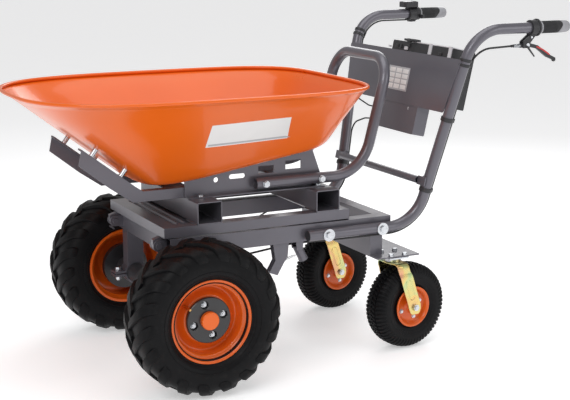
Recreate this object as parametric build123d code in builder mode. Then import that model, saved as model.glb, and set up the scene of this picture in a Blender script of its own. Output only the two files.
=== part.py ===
"""Battery power wheelbarrow: a hand-tipped tub on a chassis with two driven wheels and two casters.

The origin is on the ground under the middle of the machine. +X is the driver's left, +Y points
back towards the driver and +Z is up. All sizes are millimetres.
"""

from build123d import *
import math
import os

os.makedirs("parts", exist_ok=True)

# ---------------------------------------------------------------- driving dimensions
SEAT_GAP = 0.1  # between pieces of one body whose curved faces meet
RUNNING_FIT = 0.05  # radial clearance of a shaft in its bore
SWING_GAP = 0.5  # between plates that turn past each other
BOLT_CLEARANCE = 0.3  # radial clearance of a bolt in its hole

# drive wheels
WHEEL_X = 332.0
WHEEL_Y = -381.5
TYRE_RADIUS = 212.5
TYRE_WIDTH = 161.0
RIM_RADIUS = 104.0
RIM_FLANGE_RADIUS = 115.0
RIM_HALF_WIDTH = 62.0
RIM_SHEET = 3.0
HUB_RADIUS = 63.0
HUB_BARREL_RADIUS = 32.0
HUB_BOLT_CIRCLE = 88.0
HUB_BOLT_START = 15.0
CAP_RADIUS = 25.0
CAP_FACE = 55.0
SHAFT_RADIUS = 12.5
DRUM_RADIUS = 69.0
DRUM_DEPTH = 24.0
AXLE_RADIUS = 29.0
AXLE_WALL = 4.0

# chassis
RAIL_OUTER_X = 218.0
RAIL_WIDTH = 40.0
RAIL_HEIGHT = 48.0
RAIL_BOTTOM = 355.0
RAIL_FRONT = -425.0
RAIL_REAR = 267.5
RAIL_WALL = 3.0
LEG_X = 200.0
LEG_WIDTH = 40.0
LEG_DEPTH = 50.0
CARRIER_FRONT = 200.0
CARRIER_DEPTH = 40.0
SHELF_TOP = 289.0
SHELF_SHEET = 4.0
SHELF_HALF_WIDTH = 262.0
SHELF_REAR = 342.0

# casters
CASTER_X = 228.0
SWIVEL_Y = 271.4
CASTER_STEER = 7.4
CASTER_TRAIL = 48.5
CASTER_RADIUS = 128.0
CASTER_TYRE_WIDTH = 85.0
CASTER_RIM_RADIUS = 62.0
CASTER_AXLE_RADIUS = 6.0
FORK_SHEET = 4.0
FORK_LEG_WIDTH = 46.0
FORK_INNER = 46.0
CASTER_PLATE_SHEET = 4.0
BEARING_HEIGHT = 14.0

# tray, pockets and tipping gear
TRAY_BOTTOM = 407.0
TRAY_TOP = 435.0
TRAY_FRONT = -443.5
TRAY_REAR = 128.5
TRAY_FLANGE = 40.0
TRAY_SHEET = 4.0
FLOOR_SHEET = 2.0
POCKET_HEIGHT = 62.0
POCKET_WALL = 3.0
POCKET_SPANS = {"front": (-345.5, -271.5), "rear": (21.5, 96.5)}
HINGE_Y = -448.5
HINGE_Z = 381.0
HINGE_X = 175.5
HINGE_PIN_RADIUS = 6.0
HINGE_LUG_WIDTH = 15.0
HINGE_EAR_SHEET = 6.0
PLATE_OUTER_X = 139.0
PLATE_SHEET = 4.0
PLATE_FLANGE = 26.0
PLATE_FLANGE_SHEET = 3.0
PLATE_FRONT = -350.0
PLATE_REAR = 76.0
PLATE_HOLE_RADIUS = 7.5
PLATE_HOLE_Y = -255.0
PLATE_HOLE_Z = 540.0
ARM_SHEET = 4.0
ARM_FLANGE = 22.0

# tub
RIM_Z = 793.0
RIM_HALF_X = 363.0
RIM_MIDDLE_Y = -289.5
RIM_FRONT_LENGTH = 503.0
RIM_REAR_LENGTH = 480.0
RIM_FRONT_POWER = 2.96
RIM_REAR_POWER = 4.27
RIM_BEAD = 5.0
FLOOR_HALF_X = 190.0
FLOOR_MIDDLE_Y = -35.0
FLOOR_FRONT_LENGTH = 418.0
FLOOR_REAR_LENGTH = 128.0
FLOOR_POWER = 4.5
FLOOR_Z = 547.4
FLOOR_Z_AT_Y = -350.0
FLOOR_SLOPE = 0.1629
TUB_SHEET = 3.0
TUB_CORNER = 26.0

# tip hoop
HOOP_X = 156.0
HOOP_RADIUS = 16.0
HOOP_Z = 522.0
HOOP_FRONT = -141.5
HOOP_TOP = 857.0
HOOP_BEND_Y = 204.0
HOOP_TOP_Y = 292.0
HOOP_BOLTS_Y = (-115.5, 62.0)

# handles
TUBE_RADIUS = 16.0
TUBE_WALL = 2.5
HANDLE_FRONT = -14.5
HANDLE_LOW_Z = 373.0
HANDLE_LOW_Y = 341.0
HANDLE_TOP_X = 330.0
HANDLE_TOP_Y = 470.0
HANDLE_TOP_Z = 945.0
HANDLE_REAR = 797.5
HANDLE_BEND = 110.0
HANDLE_BOLTS_Y = (45.5, 222.5)
GRIP_RADIUS = 18.0
CABLE_RADIUS = 3.0
LOOM_RADIUS = 2.5
CABLE_OFFSET = 20.0


# ---------------------------------------------------------------- helpers
def superellipse(half_x, middle_y, front, rear, front_power, rear_power, count=32):
    """Points of a tub outline: an oval with its own length and squareness in front and behind."""
    points = []
    for step in range(count):
        angle = 2 * math.pi * (step + 0.5) / count
        cosine, sine = math.cos(angle), math.sin(angle)
        power = rear_power if sine > 0 else front_power
        length = rear if sine > 0 else front
        x = half_x * math.copysign(abs(cosine) ** (2 / power), cosine)
        y = middle_y + length * math.copysign(abs(sine) ** (2 / power), sine)
        points.append((x, y))
    return points


def side_plane(x, y=0.0, z=0.0, heading=0.0):
    """A plane whose local x runs back, whose local y runs up and whose normal points to the left."""
    turn = math.radians(heading)
    return Plane(
        origin=(x, y, z),
        x_dir=(-math.sin(turn), math.cos(turn), 0),
        z_dir=(math.cos(turn), math.sin(turn), 0),
    )


def wheel_plane(x, y, z, heading=0.0):
    """A plane for wheel sections: local x runs along the axle and local y is the radius."""
    turn = math.radians(heading)
    return Plane(
        origin=(x, y, z),
        x_dir=(math.cos(turn), math.sin(turn), 0),
        z_dir=(math.sin(turn), -math.cos(turn), 0),
    )


def turned(section, plane):
    """A solid of revolution from points (along the axle, radius) in a wheel plane."""
    with BuildPart() as piece:
        with BuildSketch(plane):
            with BuildLine():
                Polyline(*section, close=True)
            make_face()
        revolve(axis=Axis(plane.origin, plane.x_dir))
    return piece.part


def plate(plane, outline, thickness):
    """A flat plate from points in its plane."""
    with BuildPart() as piece:
        with BuildSketch(plane):
            with BuildLine():
                Polyline(*outline, close=True)
            make_face()
        extrude(amount=thickness)
    return piece.part


def bolt(seat, shank_radius, shank_length, head_width, head_height, washer_radius=0.0):
    """A hex bolt: its shank runs below the seat plane, its head and washer stand above it."""
    washer = 2.5 if washer_radius else 0.0
    with BuildPart() as piece:
        if shank_length:
            with BuildSketch(seat):
                Circle(shank_radius)
            extrude(amount=-shank_length)
        if washer:
            with BuildSketch(seat):
                Circle(washer_radius)
            extrude(amount=washer)
        with BuildSketch(seat.offset(washer)):
            RegularPolygon(head_width / 2, 6, major_radius=False)
        extrude(amount=head_height)
    return piece.part


def tube_along(points, radii, outer, inner=0.0):
    """A round tube along straight runs joined by arcs."""
    with BuildPart() as piece:
        with BuildLine() as path:
            FilletPolyline(*points, radius=radii)
        with BuildSketch(Plane(origin=path.line @ 0, z_dir=path.line % 0)):
            Circle(outer)
            if inner:
                Circle(inner, mode=Mode.SUBTRACT)
        sweep(path=path.line)
    return piece.part


def save(part, label):
    """Labels a finished piece and writes its file."""
    part.label = label
    export_step(part, f"parts/{label}.step")


SIDES = {"left": 1, "right": -1}

# ---------------------------------------------------------------- drive wheels
CAVITY_WALL = 14.0
SHOULDER = 40.0
BEAD_INNER = 48.0
RIM_SEAT = RIM_RADIUS - SEAT_GAP
RIM_INSIDE = RIM_SEAT - RIM_SHEET
FLANGE_INSIDE = RIM_HALF_WIDTH - RIM_SHEET
HUB_FACE = 42.0
HUB_DISC = 12.0
RIM_DISC_BACK = HUB_FACE - HUB_DISC - 5.0
RIM_DISC_FRONT = HUB_FACE - HUB_DISC
DRUM_INSIDE = RIM_HALF_WIDTH - DRUM_DEPTH
SHAFT_END = 110.0

for name, side in SIDES.items():
    centre = wheel_plane(side * WHEEL_X, WHEEL_Y, TYRE_RADIUS)
    half = TYRE_WIDTH / 2
    bead = FLANGE_INSIDE - SEAT_GAP
    with BuildPart() as tyre:
        with BuildSketch(centre) as section:
            with BuildLine():
                Polyline(
                    (-bead, RIM_RADIUS),
                    (-bead, RIM_FLANGE_RADIUS + 2),
                    (-half, RIM_FLANGE_RADIUS + 22),
                    (-half, TYRE_RADIUS),
                    (half, TYRE_RADIUS),
                    (half, RIM_FLANGE_RADIUS + 22),
                    (bead, RIM_FLANGE_RADIUS + 2),
                    (bead, RIM_RADIUS),
                    close=True,
                )
            make_face()
            tread_corners = section.vertices().group_by(Axis.Y)[-1]
            fillet(tread_corners, SHOULDER)
        revolve(axis=Axis(centre.origin, centre.x_dir))
        with BuildSketch(centre) as cavity:
            with BuildLine():
                Polyline(
                    (-BEAD_INNER, RIM_RADIUS - 5),
                    (-BEAD_INNER, RIM_FLANGE_RADIUS + 6),
                    (-half + CAVITY_WALL, RIM_FLANGE_RADIUS + 26),
                    (-half + CAVITY_WALL, TYRE_RADIUS - CAVITY_WALL - SHOULDER / 2),
                    (-half + CAVITY_WALL + SHOULDER / 2, TYRE_RADIUS - CAVITY_WALL),
                    (half - CAVITY_WALL - SHOULDER / 2, TYRE_RADIUS - CAVITY_WALL),
                    (half - CAVITY_WALL, TYRE_RADIUS - CAVITY_WALL - SHOULDER / 2),
                    (half - CAVITY_WALL, RIM_FLANGE_RADIUS + 26),
                    (BEAD_INNER, RIM_FLANGE_RADIUS + 6),
                    (BEAD_INNER, RIM_RADIUS - 5),
                    close=True,
                )
            make_face()
        revolve(axis=Axis(centre.origin, centre.x_dir), mode=Mode.SUBTRACT)
    save(tyre.part, f"tyre_{name}")

    rim_barrel = turned(
        [
            (-RIM_HALF_WIDTH, RIM_INSIDE),
            (-RIM_HALF_WIDTH, RIM_FLANGE_RADIUS),
            (-FLANGE_INSIDE, RIM_FLANGE_RADIUS),
            (-FLANGE_INSIDE, RIM_SEAT),
            (FLANGE_INSIDE, RIM_SEAT),
            (FLANGE_INSIDE, RIM_FLANGE_RADIUS),
            (RIM_HALF_WIDTH, RIM_FLANGE_RADIUS),
            (RIM_HALF_WIDTH, RIM_INSIDE),
        ],
        centre,
    )
    rim_disc = turned(
        [
            (side * RIM_DISC_BACK, HUB_BARREL_RADIUS + SEAT_GAP),
            (side * RIM_DISC_FRONT, HUB_BARREL_RADIUS + SEAT_GAP),
            (side * RIM_DISC_FRONT, HUB_RADIUS + 4),
            (side * (RIM_DISC_FRONT - 18), RIM_INSIDE - 8),
            (side * (RIM_DISC_FRONT - 18), RIM_INSIDE + 1),
            (side * (RIM_DISC_BACK - 18), RIM_INSIDE + 1),
            (side * (RIM_DISC_BACK - 18), RIM_INSIDE - 10),
            (side * RIM_DISC_BACK, HUB_RADIUS + 1),
        ],
        centre,
    )
    with BuildPart() as rim:
        add([rim_barrel, rim_disc])
    save(rim.part, f"rim_{name}")

    hub_body = turned(
        [
            (-side * SHAFT_END, 0),
            (-side * SHAFT_END, SHAFT_RADIUS),
            (-side * (DRUM_INSIDE - 2), SHAFT_RADIUS),
            (-side * (DRUM_INSIDE - 2), HUB_BARREL_RADIUS),
            (side * RIM_DISC_FRONT, HUB_BARREL_RADIUS),
            (side * RIM_DISC_FRONT, HUB_RADIUS),
            (side * HUB_FACE, HUB_RADIUS),
            (side * HUB_FACE, 0),
        ],
        centre,
    )
    face = Plane(
        origin=(side * (WHEEL_X + HUB_FACE), WHEEL_Y, TYRE_RADIUS), z_dir=(side, 0, 0)
    )
    with BuildPart() as hub:
        add(hub_body)
        with BuildSketch(face):
            with PolarLocations(HUB_BOLT_CIRCLE / 2, 4, start_angle=HUB_BOLT_START):
                RegularPolygon(8, 6, major_radius=False)
        extrude(amount=7)
        hub_edge = hub.edges().filter_by(GeomType.CIRCLE).sort_by(Axis.X)
        fillet(hub_edge.filter_by(lambda edge: abs(edge.radius - HUB_RADIUS) < 0.01)[-side], 3)
    save(hub.part, f"hub_{name}")

    with BuildPart() as hub_cap:
        with BuildSketch(face):
            Circle(CAP_RADIUS)
        extrude(amount=CAP_FACE - HUB_FACE)
        cap_rim = hub_cap.edges().sort_by(Axis.X)
        fillet(cap_rim[-1] if side > 0 else cap_rim[0], 4)
    save(hub_cap.part, f"hub_cap_{name}")

# ---------------------------------------------------------------- drive axle
HOUSING_END = WHEEL_X - RIM_HALF_WIDTH
PLUG_LENGTH = 40.0
GEARCASE_RADIUS = 62.0
GEARCASE_WIDTH = 96.0
MOTOR_RADIUS = 55.0
MOTOR_LENGTH = 150.0
MOTOR_FRONT = WHEEL_Y + GEARCASE_RADIUS - 4

housing_plane = wheel_plane(0, WHEEL_Y, TYRE_RADIUS)
with BuildPart() as axle_housing:
    with BuildSketch(side_plane(-HOUSING_END, WHEEL_Y, TYRE_RADIUS)):
        Circle(AXLE_RADIUS)
        Circle(AXLE_RADIUS - AXLE_WALL, mode=Mode.SUBTRACT)
    extrude(amount=2 * HOUSING_END)
    for side in SIDES.values():
        with BuildSketch(side_plane(side * HOUSING_END, WHEEL_Y, TYRE_RADIUS)):
            Circle(AXLE_RADIUS)
            Circle(SHAFT_RADIUS + RUNNING_FIT, mode=Mode.SUBTRACT)
        extrude(amount=-side * PLUG_LENGTH)
    with BuildSketch(side_plane(-GEARCASE_WIDTH / 2, WHEEL_Y, TYRE_RADIUS)):
        Circle(GEARCASE_RADIUS)
        Circle(AXLE_RADIUS - AXLE_WALL, mode=Mode.SUBTRACT)
    extrude(amount=GEARCASE_WIDTH)
    case_edges = axle_housing.edges().filter_by(GeomType.CIRCLE)
    fillet(case_edges.filter_by(lambda edge: abs(edge.radius - GEARCASE_RADIUS) < 0.01), 14)
save(axle_housing.part, "axle_housing")

motor_plane = Plane(origin=(0, MOTOR_FRONT, TYRE_RADIUS), z_dir=(0, 1, 0))
with BuildPart() as drive_motor:
    with BuildSketch(motor_plane):
        Circle(MOTOR_RADIUS)
    extrude(amount=MOTOR_LENGTH)
    fillet(drive_motor.edges().sort_by(Axis.Y)[-1], 6)
    with BuildSketch(side_plane(-GEARCASE_WIDTH, WHEEL_Y, TYRE_RADIUS)):
        Circle(GEARCASE_RADIUS + SEAT_GAP)
    extrude(amount=2 * GEARCASE_WIDTH, mode=Mode.SUBTRACT)
save(drive_motor.part, "drive_motor")

with BuildPart() as brake_drums:
    for side in SIDES.values():
        with BuildSketch(side_plane(side * HOUSING_END, WHEEL_Y, TYRE_RADIUS)):
            Circle(DRUM_RADIUS)
            Circle(SHAFT_RADIUS + RUNNING_FIT, mode=Mode.SUBTRACT)
        extrude(amount=side * (DRUM_DEPTH - 4))
save(brake_drums.part, "brake_drums")

# ---------------------------------------------------------------- chassis
RAIL_TOP = RAIL_BOTTOM + RAIL_HEIGHT
RAIL_INNER_X = RAIL_OUTER_X - RAIL_WIDTH
RAIL_MIDDLE_X = RAIL_OUTER_X - RAIL_WIDTH / 2
RAIL_MIDDLE_Z = RAIL_BOTTOM + RAIL_HEIGHT / 2
TUBE_X = RAIL_OUTER_X + TUBE_RADIUS + SEAT_GAP
HANDLE_BOLT_RADIUS = 5.0

for name, side in SIDES.items():
    front_face = Plane(
        origin=(side * RAIL_MIDDLE_X, RAIL_FRONT, RAIL_MIDDLE_Z),
        x_dir=(1, 0, 0),
        z_dir=(0, 1, 0),
    )
    with BuildPart() as rail:
        with BuildSketch(front_face):
            Rectangle(RAIL_WIDTH, RAIL_HEIGHT)
            Rectangle(RAIL_WIDTH - 2 * RAIL_WALL, RAIL_HEIGHT - 2 * RAIL_WALL, mode=Mode.SUBTRACT)
        extrude(amount=RAIL_REAR - RAIL_FRONT)
        with BuildSketch(front_face.offset(RAIL_REAR - RAIL_FRONT)):
            Rectangle(RAIL_WIDTH, RAIL_HEIGHT)
        extrude(amount=-RAIL_WALL)
        for bolt_y in HANDLE_BOLTS_Y:
            with BuildSketch(side_plane(side * RAIL_OUTER_X, bolt_y, HANDLE_LOW_Z)):
                Circle(HANDLE_BOLT_RADIUS + BOLT_CLEARANCE)
            extrude(amount=-side * RAIL_WALL, mode=Mode.SUBTRACT)
    save(rail.part, f"rail_{name}")

CROSS_DEPTH = 40.0
EAR_RADIUS = 16.0
LUG_RADIUS = 15.0
EAR_CENTRES = [
    HINGE_X - HINGE_LUG_WIDTH / 2 - SWING_GAP - HINGE_EAR_SHEET,
    HINGE_X + HINGE_LUG_WIDTH / 2 + SWING_GAP,
]

cross_fronts = [RAIL_FRONT, RAIL_REAR - CROSS_DEPTH]
hinge_ears = []
for side in SIDES.values():
    for ear_x in EAR_CENTRES:
        ear_outline = [
            (RAIL_FRONT, HINGE_Z - EAR_RADIUS),
            (HINGE_Y, HINGE_Z - EAR_RADIUS),
            (HINGE_Y, HINGE_Z + EAR_RADIUS),
            (RAIL_FRONT, HINGE_Z + EAR_RADIUS),
        ]
        inner = side_plane(side * ear_x)
        hinge_ears.append(plate(inner, ear_outline, side * HINGE_EAR_SHEET))

with BuildPart() as cross_members:
    for front in cross_fronts:
        with BuildSketch(side_plane(-RAIL_INNER_X, front + CROSS_DEPTH / 2, RAIL_MIDDLE_Z)):
            Rectangle(CROSS_DEPTH, RAIL_HEIGHT)
            Rectangle(CROSS_DEPTH - 2 * RAIL_WALL, RAIL_HEIGHT - 2 * RAIL_WALL, mode=Mode.SUBTRACT)
        extrude(amount=2 * RAIL_INNER_X)
    add(hinge_ears)
    for side in SIDES.values():
        for ear_x in EAR_CENTRES:
            with BuildSketch(side_plane(side * ear_x, HINGE_Y, HINGE_Z)):
                Circle(EAR_RADIUS)
            extrude(amount=side * HINGE_EAR_SHEET)
            with BuildSketch(side_plane(side * ear_x, HINGE_Y, HINGE_Z)):
                Circle(HINGE_PIN_RADIUS + SEAT_GAP)
            extrude(amount=side * HINGE_EAR_SHEET, mode=Mode.SUBTRACT)
save(cross_members.part, "cross_members")

PIN_HEAD_RADIUS = 10.0
PIN_HEAD = 5.0
EAR_INSIDE = EAR_CENTRES[0]
EAR_OUTSIDE = EAR_CENTRES[1] + HINGE_EAR_SHEET

with BuildPart() as hinge_pins:
    for side in SIDES.values():
        with BuildSketch(side_plane(side * EAR_INSIDE, HINGE_Y, HINGE_Z)):
            Circle(HINGE_PIN_RADIUS)
        extrude(amount=side * (EAR_OUTSIDE - EAR_INSIDE))
        with BuildSketch(side_plane(side * EAR_OUTSIDE, HINGE_Y, HINGE_Z)):
            RegularPolygon(PIN_HEAD_RADIUS, 6)
        extrude(amount=side * PIN_HEAD)
        with BuildSketch(side_plane(side * EAR_INSIDE, HINGE_Y, HINGE_Z)):
            Circle(PIN_HEAD_RADIUS - 1)
        extrude(amount=-side * PIN_HEAD)
save(hinge_pins.part, "hinge_pins")

# legs that stand on the drive axle, and the straps that clamp them to it
LEG_WALL = 4.0
SADDLE_WALL = 5.0
EAR_THICKNESS = 7.0
CLAMP_REACH = 66.0
CLAMP_BOLT_Y = 50.0
CLAMP_GAP = 3.0
SADDLE_RADIUS = AXLE_RADIUS + SEAT_GAP
LEG_BOTTOM = TYRE_RADIUS + AXLE_RADIUS - 8

for name, side in SIDES.items():
    leg_middle = side * LEG_X
    with BuildPart() as leg:
        with BuildSketch(Plane.XY.offset(LEG_BOTTOM)):
            with Locations((leg_middle, WHEEL_Y)):
                Rectangle(LEG_WIDTH, LEG_DEPTH)
        extrude(amount=RAIL_BOTTOM - LEG_BOTTOM)
        with BuildSketch(Plane.XY.offset(LEG_BOTTOM + 20)):
            with Locations((leg_middle, WHEEL_Y)):
                Rectangle(LEG_WIDTH - 2 * LEG_WALL, LEG_DEPTH - 2 * LEG_WALL)
        extrude(amount=RAIL_BOTTOM - LEG_BOTTOM - 20, mode=Mode.SUBTRACT)
        with BuildSketch(side_plane(leg_middle - LEG_WIDTH / 2, WHEEL_Y, TYRE_RADIUS)):
            Circle(SADDLE_RADIUS + SADDLE_WALL)
            with Locations((0, CLAMP_GAP / 2 + EAR_THICKNESS / 2)):
                Rectangle(2 * CLAMP_REACH, EAR_THICKNESS)
            with Locations((0, CLAMP_GAP / 2 - CLAMP_REACH)):
                Rectangle(4 * CLAMP_REACH, 2 * CLAMP_REACH, mode=Mode.SUBTRACT)
        extrude(amount=LEG_WIDTH)
        with BuildSketch(side_plane(leg_middle - LEG_WIDTH, WHEEL_Y, TYRE_RADIUS)):
            Circle(SADDLE_RADIUS)
        extrude(amount=2 * LEG_WIDTH, mode=Mode.SUBTRACT)
        with BuildSketch(Plane.XY.offset(TYRE_RADIUS)):
            with Locations(
                (leg_middle, WHEEL_Y - CLAMP_BOLT_Y), (leg_middle, WHEEL_Y + CLAMP_BOLT_Y)
            ):
                Circle(5 + BOLT_CLEARANCE)
        extrude(amount=CLAMP_GAP + EAR_THICKNESS, mode=Mode.SUBTRACT)
    save(leg.part, f"leg_{name}")

with BuildPart() as axle_clamps:
    for side in SIDES.values():
        leg_middle = side * LEG_X
        with BuildSketch(side_plane(leg_middle - LEG_WIDTH / 2, WHEEL_Y, TYRE_RADIUS)):
            Circle(SADDLE_RADIUS + SADDLE_WALL)
            with Locations((0, -CLAMP_GAP / 2 - EAR_THICKNESS / 2)):
                Rectangle(2 * CLAMP_REACH, EAR_THICKNESS)
            with Locations((0, CLAMP_REACH - CLAMP_GAP / 2)):
                Rectangle(4 * CLAMP_REACH, 2 * CLAMP_REACH, mode=Mode.SUBTRACT)
            Circle(SADDLE_RADIUS, mode=Mode.SUBTRACT)
        extrude(amount=LEG_WIDTH)
        with BuildSketch(Plane.XY.offset(TYRE_RADIUS)):
            with Locations(
                (leg_middle, WHEEL_Y - CLAMP_BOLT_Y), (leg_middle, WHEEL_Y + CLAMP_BOLT_Y)
            ):
                Circle(5 + BOLT_CLEARANCE)
        extrude(amount=-CLAMP_GAP - EAR_THICKNESS, mode=Mode.SUBTRACT)
save(axle_clamps.part, "axle_clamps")

# cross channel and shelf that carry the casters
with BuildPart() as caster_mounts:
    with BuildSketch(side_plane(-RAIL_OUTER_X)):
        with Locations((CARRIER_FRONT + CARRIER_DEPTH / 2, (RAIL_BOTTOM + SHELF_TOP) / 2)):
            Rectangle(CARRIER_DEPTH, RAIL_BOTTOM - SHELF_TOP)
            Rectangle(
                CARRIER_DEPTH - 2 * SHELF_SHEET,
                RAIL_BOTTOM - SHELF_TOP - 2 * SHELF_SHEET,
                mode=Mode.SUBTRACT,
            )
    extrude(amount=2 * RAIL_OUTER_X)
    for side in SIDES.values():
        with BuildSketch(side_plane(side * (RAIL_OUTER_X - SHELF_SHEET))):
            with Locations((CARRIER_FRONT + CARRIER_DEPTH / 2, (RAIL_BOTTOM + SHELF_TOP) / 2)):
                Rectangle(CARRIER_DEPTH, RAIL_BOTTOM - SHELF_TOP)
        extrude(amount=side * SHELF_SHEET)
    with BuildSketch(Plane.XY.offset(SHELF_TOP)):
        with Locations((0, (CARRIER_FRONT + SHELF_REAR) / 2)):
            Rectangle(2 * SHELF_HALF_WIDTH, SHELF_REAR - CARRIER_FRONT)
    extrude(amount=-SHELF_SHEET)
    with BuildSketch(Plane.XY.offset(SHELF_TOP)):
        for side in SIDES.values():
            with Locations((side * CASTER_X, SWIVEL_Y)):
                with GridLocations(56, 46, 2, 2):
                    Circle(4 + BOLT_CLEARANCE)
    extrude(amount=-SHELF_SHEET, mode=Mode.SUBTRACT)
save(caster_mounts.part, "caster_mounts")

# ---------------------------------------------------------------- casters
PLATE_TOP = SHELF_TOP - SHELF_SHEET
PLATE_UNDER = PLATE_TOP - CASTER_PLATE_SHEET
FORK_TOP = PLATE_UNDER - BEARING_HEIGHT
KING_PIN_RADIUS = 8.0
BEARING_RADIUS = 26.0

with BuildPart() as caster_plates:
    with BuildSketch(Plane.XY.offset(PLATE_TOP)):
        for side in SIDES.values():
            with Locations((side * CASTER_X, SWIVEL_Y)):
                RectangleRounded(80, 68, 8)
                with GridLocations(56, 46, 2, 2):
                    Circle(4 + BOLT_CLEARANCE, mode=Mode.SUBTRACT)
    extrude(amount=-CASTER_PLATE_SHEET)
    with BuildSketch(Plane.XY.offset(PLATE_UNDER)):
        for side in SIDES.values():
            with Locations((side * CASTER_X, SWIVEL_Y)):
                Circle(BEARING_RADIUS)
    extrude(amount=-(BEARING_HEIGHT - SWING_GAP), taper=12)
    with BuildSketch(Plane.XY.offset(PLATE_UNDER)):
        for side in SIDES.values():
            with Locations((side * CASTER_X, SWIVEL_Y)):
                Circle(KING_PIN_RADIUS)
    extrude(amount=-(BEARING_HEIGHT + FORK_SHEET + 2))
save(caster_plates.part, "caster_plates")

FORK_HALF = FORK_INNER + FORK_SHEET
leg_half = FORK_LEG_WIDTH / 2
CASTER_HALF = CASTER_TYRE_WIDTH / 2
caster_bolt_seats = []
for name, side in SIDES.items():
    turn = math.radians(CASTER_STEER)
    wheel_x = side * CASTER_X - CASTER_TRAIL * math.sin(turn)
    wheel_y = SWIVEL_Y + CASTER_TRAIL * math.cos(turn)
    swivel = Plane(
        origin=(side * CASTER_X, SWIVEL_Y, FORK_TOP),
        x_dir=(math.cos(turn), math.sin(turn), 0),
        z_dir=(0, 0, 1),
    )
    leg_outline = [
        (-leg_half + 3, FORK_TOP),
        (leg_half + 1, FORK_TOP),
        (leg_half + 5, FORK_TOP - 14),
        (CASTER_TRAIL + leg_half, CASTER_RADIUS + 6),
        (CASTER_TRAIL + leg_half - 2, CASTER_RADIUS - 13),
        (CASTER_TRAIL + 8, CASTER_RADIUS - leg_half),
        (CASTER_TRAIL - 14, CASTER_RADIUS - leg_half + 3),
        (-leg_half + 2, FORK_TOP - 28),
    ]
    fork_legs = []
    for hand in (1, -1):
        leg_x = side * CASTER_X + hand * FORK_INNER * math.cos(turn)
        leg_y = SWIVEL_Y + hand * FORK_INNER * math.sin(turn)
        fork_legs.append(
            plate(side_plane(leg_x, leg_y, 0, CASTER_STEER), leg_outline, hand * FORK_SHEET)
        )
    with BuildPart() as fork:
        with BuildSketch(swivel):
            Rectangle(2 * FORK_HALF, FORK_LEG_WIDTH - 6)
            Circle(30)
            Circle(KING_PIN_RADIUS + RUNNING_FIT, mode=Mode.SUBTRACT)
        extrude(amount=-FORK_SHEET)
        add(fork_legs)
        with BuildSketch(side_plane(wheel_x, wheel_y, CASTER_RADIUS, CASTER_STEER)):
            Circle(CASTER_AXLE_RADIUS + SEAT_GAP)
        extrude(amount=FORK_HALF + 5, both=True, mode=Mode.SUBTRACT)
    save(fork.part, f"caster_fork_{name}")

    nut_inner = side_plane(wheel_x, wheel_y, CASTER_RADIUS, CASTER_STEER)
    with BuildPart() as caster_axle:
        with BuildSketch(nut_inner):
            Circle(CASTER_AXLE_RADIUS)
        extrude(amount=FORK_HALF + 9, both=True)
        with BuildSketch(nut_inner.offset(FORK_HALF)):
            RegularPolygon(9, 6, major_radius=False)
        extrude(amount=7)
        with BuildSketch(nut_inner.offset(-FORK_HALF)):
            RegularPolygon(9, 6, major_radius=False)
        extrude(amount=-7)
    save(caster_axle.part, f"caster_axle_{name}")

    hub_plane = wheel_plane(wheel_x, wheel_y, CASTER_RADIUS, CASTER_STEER)
    with BuildPart() as caster_tyre:
        with BuildSketch(hub_plane) as section:
            with BuildLine():
                Polyline(
                    (-CASTER_HALF + 10, CASTER_RIM_RADIUS - 8),
                    (-CASTER_HALF, CASTER_RIM_RADIUS + 10),
                    (-CASTER_HALF, CASTER_RADIUS),
                    (CASTER_HALF, CASTER_RADIUS),
                    (CASTER_HALF, CASTER_RIM_RADIUS + 10),
                    (CASTER_HALF - 10, CASTER_RIM_RADIUS - 8),
                    close=True,
                )
            make_face()
            fillet(section.vertices().group_by(Axis.Y)[-1], 26)
        revolve(axis=Axis(hub_plane.origin, hub_plane.x_dir))
        with BuildSketch(hub_plane):
            with Locations((0, (CASTER_RIM_RADIUS + CASTER_RADIUS) / 2)):
                Ellipse(CASTER_HALF - 12, (CASTER_RADIUS - CASTER_RIM_RADIUS) / 2 - 10)
        revolve(axis=Axis(hub_plane.origin, hub_plane.x_dir), mode=Mode.SUBTRACT)
    save(caster_tyre.part, f"caster_tyre_{name}")

    bore = CASTER_AXLE_RADIUS + RUNNING_FIT
    seat_radius = CASTER_RIM_RADIUS - 8 - SEAT_GAP
    caster_rim = turned(
        [
            (-FORK_INNER + 2, bore),
            (-FORK_INNER + 2, 14),
            (-CASTER_HALF + 18, 18),
            (-CASTER_HALF + 14, 40),
            (-CASTER_HALF + 6, CASTER_RIM_RADIUS - 12),
            (-CASTER_HALF + 3, CASTER_RIM_RADIUS - 6),
            (-CASTER_HALF + 7, CASTER_RIM_RADIUS - 6),
            (-CASTER_HALF + 10, seat_radius),
            (CASTER_HALF - 10, seat_radius),
            (CASTER_HALF - 7, CASTER_RIM_RADIUS - 6),
            (CASTER_HALF - 3, CASTER_RIM_RADIUS - 6),
            (CASTER_HALF - 6, CASTER_RIM_RADIUS - 12),
            (CASTER_HALF - 14, 40),
            (CASTER_HALF - 18, 18),
            (FORK_INNER - 2, 14),
            (FORK_INNER - 2, bore),
        ],
        hub_plane,
    )
    save(caster_rim, f"caster_rim_{name}")

# ---------------------------------------------------------------- handles
LEAN = (HANDLE_TOP_Y - HANDLE_LOW_Y) / (HANDLE_TOP_Z - HANDLE_LOW_Z)
SPLAY = (HANDLE_TOP_X - TUBE_X) / (HANDLE_TOP_Z - HANDLE_LOW_Z)
LEAN_ANGLE = math.atan(LEAN)


def handle_y(z):
    """Height to the handle tube's centre line, fore and aft, on its leaning stretch."""
    return HANDLE_LOW_Y + LEAN * (z - HANDLE_LOW_Z)


def handle_x(z):
    """Height to the handle tube's centre line, sideways, on its leaning stretch."""
    return TUBE_X + SPLAY * (z - HANDLE_LOW_Z)


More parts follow.
